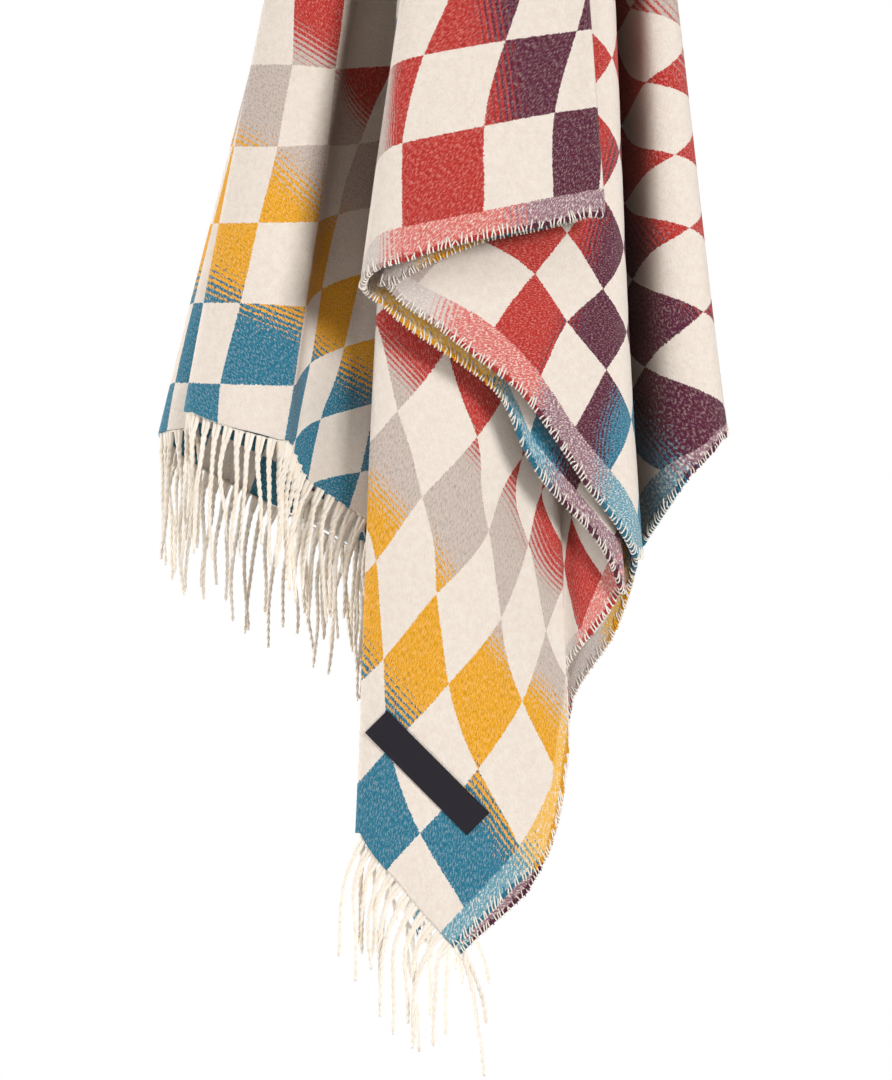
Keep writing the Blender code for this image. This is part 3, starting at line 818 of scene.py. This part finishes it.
@dataclass(frozen=True)
class CheckWeave:
    """The cloth's finish: checks of coloured yarn and cream, in a brushed twill, darkened by painted shade
    where neighbouring folds shut the cloth in.
    """

    colours: BandColours = BandColours()
    check: float = 0.056
    wobble: float = 0.022
    stripe_reach: float = 0.42
    stripes_for_each_row: float = 14.0
    first_hem_column: float = 24.0
    widest_hem: float = 0.030
    narrowest_hem: float = 0.008
    bound: float = 0.0030
    last_band: float = 31.9
    thread: float = 0.0010
    # Painted shade: where the share shut in by folds starts to darken the colour, how fast it grows, how far
    # it goes at most, and the warm brown it darkens towards.
    painted_shade_from: float = 0.30
    painted_shade_gain: float = 2.5
    darkest_painted_shade: float = 0.62
    painted_shade_mix: float = 0.8
    painted_shade_colour: tuple = srgb(92, 52, 26)
    column_noise: float = 900.0
    row_noise: float = 820.0
    grain_noise: float = 1300.0
    cloud_noise: float = 210.0
    twill_along: float = 0.7
    twill_across: float = 0.26
    feathering: float = 0.75
    flecks_in_mottle: float = 0.6
    grain_in_mottle: float = 0.4
    flecks_from: float = 0.51
    shade_from: float = 0.49
    mottle_gain: float = 9.0
    fleck_share: float = 0.25
    shade_share: float = 0.62
    fleck_colour: tuple = srgb(240, 222, 208)
    shade_colour: tuple = srgb(40, 22, 28)
    cloud_from: float = 0.38
    cloud_gain: float = 1.6
    cream_cloud: tuple = srgb(227, 213, 199)
    cream_shade: tuple = srgb(205, 186, 168)
    cream_shade_share: float = 0.22
    hem_fleck_share: float = 0.9
    hem_shade_share: float = 0.50
    middle_column: float = 12.0
    hem_raggedness: float = 0.004
    bound_share: float = 0.2
    bound_colour: tuple = srgb(60, 40, 44)
    flecks_in_height: float = 0.6
    grain_in_height: float = 0.5
    clouds_in_height: float = 0.5
    surface: Surface = Surface(0.0009, 0.95, 0.12)

    def make(self, name: str) -> bpy.types.Material:
        """Makes the material."""
        tree = ShaderTree(name)
        column, row, band = tree.parts_of("checks")
        selvedge, shut, inside = tree.parts_of("edges")
        across = column * (self.check / self.thread)
        down = row * (self.check / self.thread)
        column = column + (tree.noise(self.column_noise, detail=1.0) - 0.5) * self.wobble * 2.0
        row = row + (tree.noise(self.row_noise, detail=1.0) - 0.5) * self.wobble * 2.0
        odd = (column.floor() + row.floor() + inside).modulo(2.0)
        twill = tree.vector((across + down) * self.twill_along, (across - down) * self.twill_across, inside)
        flecks = tree.noise(1.0, twill, detail=1.0)
        grain = tree.noise(self.grain_noise, detail=2.0)
        stripes = (band * self.stripes_for_each_row).to_and_fro(0.5) - 0.25
        blurred = band + stripes * self.stripe_reach * 2.0 + (grain + flecks - 1.0) * self.feathering
        blurred = blurred.math("MAXIMUM", 0.0).math("MINIMUM", self.last_band)
        yarn = self.colours.pick(tree, blurred, self.colours.in_order())
        mottle = flecks * self.flecks_in_mottle + grain * self.grain_in_mottle
        fleck = mottle.ramp(self.flecks_from, self.mottle_gain)
        shade = ((self.shade_from - mottle) * self.mottle_gain).clamp()
        lit = tree.mix(fleck * self.fleck_share, yarn, self.fleck_colour)
        coloured = tree.mix(shade * self.shade_share, lit, tree.mix(0.5, yarn, self.shade_colour))
        soft = tree.noise(self.cloud_noise, detail=4.0, rough=0.65)
        cream = tree.mix(soft.ramp(self.cloud_from, self.cloud_gain), self.colours.cream, self.cream_cloud)
        cream = tree.mix(shade * self.cream_shade_share, cream, self.cream_shade)
        plain = tree.mix(odd, cream, coloured)
        pale = self.colours.pick(tree, blurred, self.colours.hems_in_order())
        hem = tree.mix(fleck * self.hem_fleck_share, pale, self.colours.cream)
        hem = tree.mix(shade * self.hem_shade_share, hem, yarn)
        half_way = self.first_hem_column - self.middle_column
        beyond = (column - self.middle_column).math("ABSOLUTE") - half_way
        near = selvedge + (grain - 0.5) * self.hem_raggedness
        is_hem = ((beyond > 0.0) * (near < self.widest_hem)).math("MAXIMUM", near < self.narrowest_hem)
        hemmed = tree.mix(is_hem, plain, hem)
        bound = tree.mix(self.bound_share, yarn, self.bound_colour)
        colour = tree.mix(near < self.bound, hemmed, bound)
        # Painted shade: the colour darkens towards a warm brown where neighbouring folds shut the cloth in.
        deep = shut.ramp(self.painted_shade_from, self.painted_shade_gain) * self.darkest_painted_shade
        colour = tree.mix(deep, colour, tree.mix(self.painted_shade_mix, colour, self.painted_shade_colour))
        height = flecks * self.flecks_in_height + grain * self.grain_in_height + soft * self.clouds_in_height
        tree.finish(colour, height, self.surface)
        return tree.material


@dataclass(frozen=True)
class CordYarn:
    """The finish of the cords: undyed yarn, a little darker in places."""

    light: tuple = srgb(250, 243, 232)
    dark: tuple = srgb(246, 229, 202)
    cloud_noise: float = 90.0
    cloud_from: float = 0.4
    cloud_gain: float = 1.6
    fibre_noise: float = 1800.0
    surface: Surface = Surface(0.0003, 0.9, 0.4)

    def make(self, name: str) -> bpy.types.Material:
        """Makes the material."""
        tree = ShaderTree(name)
        soft = tree.noise(self.cloud_noise, detail=3.0)
        colour = tree.mix(soft.ramp(self.cloud_from, self.cloud_gain), self.light, self.dark)
        tree.finish(colour, tree.noise(self.fibre_noise, detail=2.0), self.surface)
        return tree.material


@dataclass(frozen=True)
class StitchThread:
    """The finish of the edge stitches: off-white thread, some of it in the colour of the cloth below."""

    thread: tuple = srgb(246, 240, 230)
    colours: BandColours = BandColours()
    fibre_noise: float = 1500.0
    surface: Surface = Surface(0.0003, 0.8, 0.2)

    def make(self, name: str) -> bpy.types.Material:
        """Makes the material."""
        tree = ShaderTree(name)
        dyed, _, band = tree.parts_of("checks")
        colour = tree.mix(dyed, self.thread, self.colours.pick(tree, band, self.colours.in_order()))
        tree.finish(colour, tree.noise(self.fibre_noise), self.surface)
        return tree.material


@dataclass(frozen=True)
class LabelRibbon:
    """The finish of the label: a plain dark woven ribbon."""

    colour: tuple = srgb(36, 34, 41)
    rib_colour: tuple = srgb(52, 50, 58)
    rib: float = 0.0006
    ribs_along: float = 0.7
    ribs_over: float = 0.3
    rib_share: float = 0.35
    surface: Surface = Surface(0.00012, 0.75, 0.0)

    def make(self, name: str) -> bpy.types.Material:
        """Makes the material."""
        tree = ShaderTree(name)
        along, over, _ = tree.parts_of("ribbon")
        ribs = (along / self.rib).to_and_fro(1.0) * self.ribs_along
        ribs = ribs + (over / self.rib).to_and_fro(1.0) * self.ribs_over
        colour = tree.mix(ribs * self.rib_share, self.colour, self.rib_colour)
        tree.finish(colour, ribs, self.surface)
        return tree.material


def add_object(name: str, data: bpy.types.ID) -> bpy.types.Object:
    """Puts a new object with the given data into the scene."""
    thing = bpy.data.objects.new(name, data)
    bpy.context.collection.objects.link(thing)
    return thing


@dataclass
class MeshMaker:
    """Collects the points, faces and values of one piece of cloth or yarn."""

    points: list = field(default_factory=list)
    faces: list[Face] = field(default_factory=list)
    values: dict[str, list] = field(default_factory=dict)

    def add_values(self, name: str, rows: np.ndarray) -> None:
        """Adds rows of three numbers to the points' values of that name."""
        self.values.setdefault(name, []).append(np.asarray(rows, float).reshape(-1, 3))

    def add_tube(self, path: np.ndarray, radii: np.ndarray, sides: int) -> int:
        """Adds a closed tube round a path.

        Args:
            path: one row of x, y and z for each point of the middle.
            radii: the radius at each of them.
            sides: the number of sides.

        Returns:
            The number of points added.
        """
        tangent = unit(np.gradient(path, axis=0))
        side = unit(np.cross(tangent, TUBE_SIDE))
        other = np.cross(tangent, side)
        turns = np.arange(sides) * 2.0 * math.pi / sides
        ring = side[:, None, :] * np.cos(turns)[None, :, None]
        ring = ring + other[:, None, :] * np.sin(turns)[None, :, None]
        start = len(self.points)
        rows = path[:, None, :] + ring * radii[:, None, None]
        self.points.extend(rows.reshape(-1, 3))
        for level in range(len(path) - 1):
            for index in range(sides):
                here = start + level * sides + index
                after = start + level * sides + (index + 1) % sides
                self.faces.append((here, after, after + sides, here + sides))
        last = start + (len(path) - 1) * sides
        self.faces.append(tuple(range(start + sides - 1, start - 1, -1)))
        self.faces.append(tuple(range(last, last + sides)))
        return len(rows) * sides

    def make(self, name: str, material: bpy.types.Material) -> bpy.types.Object:
        """Makes the object, with its values as attributes and every face smooth."""
        mesh = bpy.data.meshes.new(name)
        mesh.from_pydata([tuple(point) for point in self.points], [], self.faces)
        for key, rows in self.values.items():
            attribute = mesh.attributes.new(key, "FLOAT_VECTOR", "POINT")
            attribute.data.foreach_set("vector", np.concatenate(rows).astype(np.float32).ravel())
        mesh.shade_smooth()
        mesh.materials.append(material)
        return add_object(name, mesh)


@dataclass(frozen=True)
class Blanket:
    """The woven cloth itself."""

    cloth: Cloth
    finish: CheckWeave = CheckWeave()
    looks: int = 26
    look_from: float = 0.002
    reach: float = 0.11
    grazing: float = 0.12
    smoothings: int = 3

    def build(self) -> bpy.types.Object:
        """Gives the middle surface its thickness and closes it at the top and round the edge.

        The values named edges hold the distance to a woven side edge, the share that neighbouring folds
        shut in, which the finish turns into painted shade, and nothing for one side of the cloth and one for
        the other.
        """
        cloth = self.cloth
        levels, count = cloth.levels, cloth.count
        half = cloth.away * cloth.drape.thickness / 2.0 * cloth.drape.gathered(-cloth.grid[..., 2:])
        maker = MeshMaker()
        maker.points = [*(cloth.grid + half).reshape(-1, 3), *(cloth.grid - half)[1:].reshape(-1, 3)]
        inner = levels * count
        maker.faces.append(tuple(range(count)))
        maker.faces.append(tuple(range(inner, inner + count))[::-1])
        for level in range(levels - 1):
            maker.faces += self.ring(level * count, (level + 1) * count, count)
        for level in range(levels - 2):
            upper = inner + level * count
            maker.faces += [face[::-1] for face in self.ring(upper, upper + count, count)]
        maker.faces += self.ring((levels - 1) * count, inner + (levels - 2) * count, count)
        tree = BVHTree.FromPolygons([tuple(point) for point in maker.points], maker.faces)
        for first, side in ((0, 0.0), (1, 1.0)):
            out = half * (1.0 - 2.0 * side)
            shut = self.shut_in(cloth.grid + out, unit(out), tree)
            edges = np.stack((cloth.selvedge, shut, np.full(shut.shape, side)), axis=-1)
            maker.add_values("checks", cloth.checks[first:])
            maker.add_values("edges", edges[first:])
        return maker.make("woven_cloth", self.finish.make("checked weave"))

    def shut_in(self, grid: np.ndarray, out: np.ndarray, tree: BVHTree) -> np.ndarray:
        """Works out how far neighbouring folds shut in each point of one side of the cloth, for the painted
        shade.

        Args:
            grid: the points, level by level.
            out: the direction out of the cloth at each of them.
            tree: the whole cloth.

        Returns:
            From nothing, in the open, to one, where folds lie before it in every direction.
        """
        points = grid + out * self.look_from
        met = np.zeros(out.shape[:2])
        seen = np.zeros(out.shape[:2])
        for look in range(self.looks):
            height = 1.0 - (2.0 * look + 1.0) / self.looks
            turn = look * math.pi * (3.0 - math.sqrt(5.0))
            wide = math.sqrt(1.0 - height * height)
            way = np.array((math.cos(turn) * wide, math.sin(turn) * wide, height))
            facing = np.where(out @ way > self.grazing, out @ way, 0.0)
            seen += facing
            for place in zip(*np.nonzero(facing)):
                if tree.ray_cast(points[place], way, self.reach)[0] is not None:
                    met[place] += facing[place]
        shut = met / seen
        for _ in range(self.smoothings):
            shut = (np.roll(shut, 1, axis=1) + shut * 2.0 + np.roll(shut, -1, axis=1)) / 4.0
            padded = np.concatenate((shut[:1], shut, shut[-1:]))
            shut = (padded[:-2] + shut * 2.0 + padded[2:]) / 4.0
        return shut

    @staticmethod
    def ring(upper: int, lower: int, count: int) -> list[Face]:
        """Lists the faces between two closed rows of points that start at the given numbers."""
        faces = []
        for index in range(count):
            following = (index + 1) % count
            faces.append((upper + index, lower + index, lower + following, upper + following))
        return faces


@dataclass(frozen=True)
class Fringe:
    """A row of twisted cords below one end of the cloth, each gathered from a stretch of the warp."""

    name: str
    first: str
    last: str
    seed: int
    cloth: Cloth
    finish: CordYarn = CordYarn()
    gap: float = 0.0004
    pitch: float = 0.0085
    narrowest_pitch: float = 0.0045
    gather_drop: float = 0.018
    length: float = 0.088
    length_spread: float = 0.014
    ply_radius: float = 0.00115
    root_swelling: float = 0.60
    root_length: float = 0.024
    heading_radius: float = 0.0006
    twist: float = 0.0120
    settle_length: float = 0.048
    steep_from: float = 0.78
    steep_drop: float = 6.0
    start_pull: float = 0.1
    settling: float = 0.7
    fan: float = 0.0
    fan_length: float = 0.070
    least_fan: float = 0.5
    sway: float = 0.10
    share_in_depth: float = 0.5
    first_curl: float = 6.28
    least_curl: float = 0.0004
    most_curl: float = 0.0016
    bends_growth: float = 3.0
    bends_across: float = 7.0
    bends_in_depth: float = 5.0
    root_spread: float = 0.19
    ply_reach: float = 0.58
    untwisted: float = 0.6
    root_width: float = 1.05
    thinning: float = 0.4
    tip_width: float = 0.5
    steps: int = 40
    sides: int = 6

    def marks(self, points: np.ndarray) -> np.ndarray:
        """Divides the stretches of the edge into cords, fewer on steep ones, and lists where they meet."""
        marks = []
        for index in range(len(points) - 1):
            step = points[index + 1] - points[index]
            level = math.hypot(step[0], step[1])
            count = max(1, round(min(np.linalg.norm(step) / self.pitch, level / self.narrowest_pitch)))
            marks.extend(index + part / count for part in range(count))
        marks.append(len(points) - 1.0)
        return np.array(marks)

    def build(self) -> bpy.types.Object:
        """Builds the cords and the gathered warp above them."""
        cloth = self.cloth
        draw = random.Random(self.seed)
        numbers = []
        for sample in cloth.samples_between(self.first, self.last):
            place = cloth.places[sample]
            if abs(place - round(place)) < NEARLY_NOTHING:
                numbers.append(sample)
        edge = cloth.grid[-1][numbers]
        away = cloth.away[-1][numbers]
        marks = self.marks(edge)
        roots = read_at(edge, marks)
        through = unit(read_at(away, marks))
        maker = MeshMaker()
        heading = edge - np.array((0.0, 0.0, self.gap + self.heading_radius))
        maker.add_tube(heading, np.full(len(heading), self.heading_radius), self.sides)
        for index in range(len(marks) - 1):
            left, right = roots[index], roots[index + 1]
            off = min(np.linalg.norm(left - roots[0]), np.linalg.norm(right - roots[-1]))
            fan = self.fan * max(0.0, 1.0 - off / self.fan_length) * draw.uniform(self.least_fan, 1.0)
            self.add_cord(maker, left, right, through[index] + through[index + 1], fan, draw)
        return maker.make(self.name, self.finish.make(f"{self.name} yarn"))

    def add_cord(self, maker: MeshMaker, left: np.ndarray, right: np.ndarray, through: np.ndarray,
                 fan: float, draw: random.Random) -> None:
        """Hangs one cord below its stretch of the edge, which runs from left to right.

        Args:
            maker: what collects the cord's points and faces.
            left: one end of the stretch.
            right: the other end.
            through: the direction through the cloth there.
            fan: how strongly the cord starts out sideways.
            draw: where its length and its curls come from.
        """
        through = unit(through)
        along = unit(right - left)
        below = np.cross(along, through)
        below = below * (-1.0 if below[2] > 0.0 else 1.0)
        down = np.array((0.0, 0.0, -1.0))
        steep = max(0.0, abs(along[2]) - self.steep_from) / (1.0 - self.steep_from) * self.steep_drop
        pull = fan if fan > 0.0 else steep
        lean = unit(below + down * (self.start_pull + pull) + np.array((fan, 0.0, 0.0)))
        length = self.length + draw.uniform(-1.0, 1.0) * self.length_spread
        deep = self.share_in_depth
        sway = np.array((draw.uniform(-1.0, 1.0), draw.uniform(-deep, deep), 0.0)) * self.sway
        curl = draw.uniform(0.0, self.first_curl)
        curl_size = draw.uniform(self.least_curl, self.most_curl)
        shares = np.linspace(0.0, 1.0, self.steps)
        settle_length = self.settle_length * (1.0 + fan)
        settled = np.clip(shares * length / settle_length, 0.0, 1.0)[:, None] ** self.settling
        heading = lean * (1.0 - settled) + (down + sway) * settled
        moves = np.concatenate((np.zeros((1, 3)), np.cumsum(heading[:-1], axis=0)))
        middle = (left + right) / 2.0 + below * self.gap + moves * length / self.steps
        bend = np.sin(shares * self.bends_across + curl) - math.sin(curl)
        middle[:, 0] += bend * curl_size * np.clip(shares * self.bends_growth, 0.0, 1.0)
        bend = np.cos(shares * self.bends_in_depth + curl) - math.cos(curl)
        middle[:, 1] += bend * curl_size * deep
        spread = np.linalg.norm(right - left) * self.root_spread
        gathered = np.clip(shares * length / self.gather_drop, 0.0, 1.0)
        reach = spread * (1.0 - gathered) + self.ply_radius * self.ply_reach * gathered
        twisted = np.maximum(shares * length - self.gather_drop * self.untwisted, 0.0)
        turn = twisted / self.twist * 2.0 * math.pi
        tangent = unit(np.gradient(middle, axis=0))
        side = unit(np.cross(np.broadcast_to(through, tangent.shape), tangent))
        other = np.cross(tangent, side)
        swelling = 1.0 + self.root_swelling * np.exp(-shares * length / self.root_length)
        width = self.ply_radius * (self.root_width - self.thinning * shares) * swelling
        width[-1] *= self.tip_width
        for ply in (0.0, math.pi):
            swing = np.cos(turn + ply)[:, None] * side + np.sin(turn + ply)[:, None] * other
            maker.add_tube(middle + swing * reach[:, None], width, self.sides)


@dataclass(frozen=True)
class EdgeStitches:
    """Overlock stitches that wrap the cloth's two woven side edges."""

    cloth: Cloth
    finish: StitchThread = StitchThread()
    pitch: float = 0.0027
    depth: float = 0.0056
    radius: float = 0.00052
    seed: int = 3
    jitter: float = 0.35
    levels_up: int = 4
    squaring: float = 0.6
    sizes: tuple[float, float] = (0.45, 1.3)
    slants: tuple[float, float] = (-0.5, 0.9)
    lift_share: float = 0.7
    bulge_height: float = 0.55
    edge_lift: float = 0.8
    turn_share: float = 0.4
    sunk: float = 0.0002
    above_edge: float = 0.0004
    past_edge: float = 0.0009
    dyed_share: float = 0.15
    sides: int = 5

    def build(self) -> bpy.types.Object:
        """Builds all the stitches as one piece."""
        maker = MeshMaker()
        draw = random.Random(self.seed)
        for first, last in SIDE_EDGES:
            self.add_row(maker, self.cloth.samples_between(first, last), draw)
        return maker.make("edge_stitches", self.finish.make("stitch thread"))

    def add_row(self, maker: MeshMaker, samples: list[int], draw: random.Random) -> None:
        """Adds the stitches along one stretch of the edge."""
        cloth = self.cloth
        edge = cloth.grid[-1][samples]
        away = cloth.away[-1][samples]
        up = unit(cloth.grid[-self.levels_up][samples] - edge)
        checks = cloth.checks[-1][samples]
        steps = np.linalg.norm(np.diff(edge, axis=0), axis=1)
        reach = np.concatenate(([0.0], np.cumsum(steps)))
        half = cloth.drape.thickness / 2.0
        lift = self.radius * self.lift_share
        for number in range(int(reach[-1] / self.pitch)):
            spot = (number + 0.5 + draw.uniform(-self.jitter, self.jitter)) * self.pitch
            mark = np.array((np.interp(spot, reach, np.arange(len(reach))),))
            place = read_at(edge, mark)[0]
            out = unit(read_at(away, mark)[0])
            rise = unit(read_at(up, mark)[0])
            whole = min(int(mark[0]), len(edge) - 2)
            along = unit(edge[whole + 1] - edge[whole])
            rise = unit(rise - along * (rise @ along) * self.squaring)
            size = self.depth * draw.uniform(*self.sizes)
            slant = along * self.pitch * draw.uniform(*self.slants)
            down_one_side = (
                (size, half - self.sunk, 1.0),
                (size * self.bulge_height, half + lift, 0.5),
                (self.above_edge, half + lift * self.edge_lift, 0.0),
                (-self.past_edge, half * self.turn_share, 0.0),
            )
            path = [place + rise * high + out * off + slant * share for high, off, share in down_one_side]
            path += [place + rise * high - out * off + slant * share
                     for high, off, share in reversed(down_one_side)]
            added = maker.add_tube(np.array(path), np.full(len(path), self.radius), self.sides)
            dyed = 1.0 if draw.random() < self.dyed_share else 0.0
            band = read_at(checks, mark)[0][2]
            maker.add_values("checks", np.tile((dyed, 0.0, band), (added, 1)))


@dataclass(frozen=True)
class Label:
    """The blank ribbon label on the front of the tail."""

    finish: LabelRibbon = LabelRibbon()
    length: float = 0.100
    width: float = 0.022
    thickness: float = 0.0008
    gap: float = 0.0004
    across: float = -0.013
    drop: float = 1.1417
    tilt: float = math.radians(-45.0)
    looked_from: float = -1.0
    columns: int = 60
    rows: int = 14

    def build(self, blanket: bpy.types.Object) -> bpy.types.Object:
        """Lays the label on the front of the cloth, just clear of it, whose curve it follows."""
        corners = [vertex.co for vertex in blanket.data.vertices]
        tree = BVHTree.FromPolygons(corners, [face.vertices for face in blanket.data.polygons])
        along = Vector((math.cos(self.tilt), 0.0, math.sin(self.tilt)))
        over = Vector((-math.sin(self.tilt), 0.0, math.cos(self.tilt)))
        middle = Vector((self.across, self.looked_from, -self.drop))
        back = []
        ribbon = []
        for row in range(self.rows + 1):
            for column in range(self.columns + 1):
                right = self.length * (column / self.columns - 0.5)
                high = self.width * (row / self.rows - 0.5)
                place = middle + along * right + over * high
                steps = [along * (self.length / self.columns) * step for step in (-1, 0, 1)]
                depth = min(tree.ray_cast(place + step, Vector((0.0, 1.0, 0.0)))[0].y for step in steps)
                back.append((place.x, depth - self.gap, place.z))
                ribbon.append((right, high, 0.0))
        front = [(x, y - self.thickness, z) for x, y, z in back]
        maker = MeshMaker(points=front + back)
        maker.faces = self.sheet_faces(len(front))
        maker.add_values("ribbon", np.array(ribbon + ribbon))
        return maker.make("ribbon_label", self.finish.make("dark ribbon"))

    def sheet_faces(self, far: int) -> list[Face]:
        """Lists the faces of the front, the back, which starts at the given number, and the rim."""
        wide = self.columns + 1
        faces = []
        for row in range(self.rows):
            for column in range(self.columns):
                corner = row * wide + column
                quad = (corner, corner + 1, corner + wide + 1, corner + wide)
                faces.append(quad)
                faces.append(tuple(number + far for number in quad[::-1]))
        rim = list(range(wide))
        rim += [row * wide + wide - 1 for row in range(1, self.rows + 1)]
        rim += [self.rows * wide + column for column in range(wide - 2, -1, -1)]
        rim += [row * wide for row in range(self.rows - 1, 0, -1)]
        for index, corner in enumerate(rim):
            following = rim[(index + 1) % len(rim)]
            faces.append((following, corner, corner + far, following + far))
        return faces


@dataclass(frozen=True)
class SoftBox:
    """A large area light: where it is, where it points, its side in metres and its power in watts."""

    name: str
    place: Triple
    target: Triple
    side: float
    power: float
    colour: Triple = (1.0, 1.0, 1.0)

    def build(self) -> bpy.types.Object:
        """Makes the light."""
        data = bpy.data.lights.new(self.name, "AREA")
        data.shape = "SQUARE"
        data.size = self.side
        data.energy = self.power
        data.color = self.colour
        light = add_object(self.name, data)
        light.location = self.place
        light.rotation_euler = (Vector(self.target) - Vector(self.place)).to_track_quat("-Z", "Y").to_euler()
        return light


@dataclass(frozen=True)
class Studio:
    """A pale floor, a white surround, soft lights and the camera."""

    view: PhotoView = PhotoView()
    floor_height: float = -1.72
    floor_radius: float = 1.9
    floor_sides: int = 96
    floor_colour: tuple = srgb(246, 246, 246)
    floor_roughness: float = 0.9
    surround_radius: float = 60.0
    surround_segments: int = 48
    surround_rings: int = 24
    sky: float = 0.09
    sky_colour: tuple = (1.0, 0.70, 0.47, 1.0)
    soft_boxes: tuple[SoftBox, ...] = (
        SoftBox("right light", (1.91, -2.45, -0.18), (0.0, 0.0, -0.95), 0.8, 80.0),
        SoftBox("left light", (-2.70, -1.20, -0.43), (0.0, 0.0, -0.95), 0.8, 47.0),
        SoftBox("left back light", (-2.72, 1.27, -0.95), (0.0, 0.0, -0.95), 1.4, 48.0),
        SoftBox("right back light", (2.72, 1.27, -0.95), (0.0, 0.0, -0.95), 1.4, 16.0),
        SoftBox("back light", (-0.60, 2.90, -0.50), (0.0, 0.0, -0.95), 1.4, 60.0),
    )

    def build(self) -> None:
        """Builds the studio."""
        world = bpy.data.worlds.new("soft sky")
        world.use_nodes = True
        sky = world.node_tree.nodes["Background"]
        sky.inputs["Color"].default_value = self.sky_colour
        sky.inputs["Strength"].default_value = self.sky
        bpy.context.scene.world = world
        for box in self.soft_boxes:
            box.build()
        self.build_floor()
        self.build_surround()
        self.build_camera()
        bpy.context.scene.view_settings.view_transform = "Standard"
        bpy.context.scene.view_settings.look = "None"

    def build_floor(self) -> bpy.types.Object:
        """Makes the round floor, well below the cords."""
        bpy.ops.object.select_all(action="DESELECT")
        bpy.ops.mesh.primitive_circle_add(vertices=self.floor_sides, radius=self.floor_radius,
                                          fill_type="NGON", location=(0.0, 0.0, self.floor_height))
        floor = bpy.context.object
        floor.name = "studio_floor"
        tree = ShaderTree("pale floor")
        tree.feed_shader({"Base Color": self.floor_colour, "Roughness": self.floor_roughness})
        floor.data.materials.append(tree.material)
        return floor

    def build_surround(self) -> bpy.types.Object:
        """Makes the white surround, which the camera sees but which casts no light."""
        bpy.ops.object.select_all(action="DESELECT")
        bpy.ops.mesh.primitive_uv_sphere_add(segments=self.surround_segments, ring_count=self.surround_rings,
                                             radius=self.surround_radius)
        surround = bpy.context.object
        surround.name = "white_surround"
        tree = ShaderTree("white surround")
        tree.feed_shader({"Base Color": srgb(0, 0, 0), "Emission Color": srgb(255, 255, 255)})
        tree.feed_shader({"Emission Strength": 1.0})
        surround.data.materials.append(tree.material)
        surround.visible_diffuse = False
        surround.visible_glossy = False
        surround.visible_transmission = False
        surround.visible_shadow = False
        return surround

    def build_camera(self) -> None:
        """Makes the camera of the photograph."""
        data = bpy.data.cameras.new("camera")
        data.lens = self.view.lens
        data.sensor_width = self.view.sensor
        camera = add_object("camera", data)
        camera.location = (0.0, -self.view.distance, self.view.height)
        camera.rotation_euler = (math.radians(90.0), 0.0, 0.0)
        bpy.context.scene.camera = camera


def place(piece: bpy.types.Object, node: str | None, slot: str) -> None:
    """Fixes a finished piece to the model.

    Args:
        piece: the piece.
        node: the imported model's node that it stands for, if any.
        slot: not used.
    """
    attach(piece, "root")
    if node is not None:
        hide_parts(node)
    triangles = sum(len(face.vertices) - 2 for face in piece.data.polygons)
    logging.info("%s: %d triangles", piece.name, triangles)


def main() -> None:
    """Builds the studio and every piece of the blanket."""
    logging.basicConfig(level=logging.INFO, format="%(message)s")
    studio = Studio()
    studio.build()
    cloth = Cloth(Drape(), studio.view)
    blanket = Blanket(cloth).build()
    place(blanket, "blanket", "blanket")
    front = Fringe("front_end_cords", "rear corner", "front corner", seed=5, cloth=cloth).build()
    place(front, "fringe_front_end", "fringe")
    back = Fringe("back_end_cords", "back corner", "far corner", seed=8, cloth=cloth, fan=3.2).build()
    place(back, "fringe_back_end", "fringe")
    stitches = EdgeStitches(cloth).build()
    place(stitches, None, "blanket")
    label = Label().build(blanket)
    place(label, "label", "label")


if __name__ == "__main__":
    main()
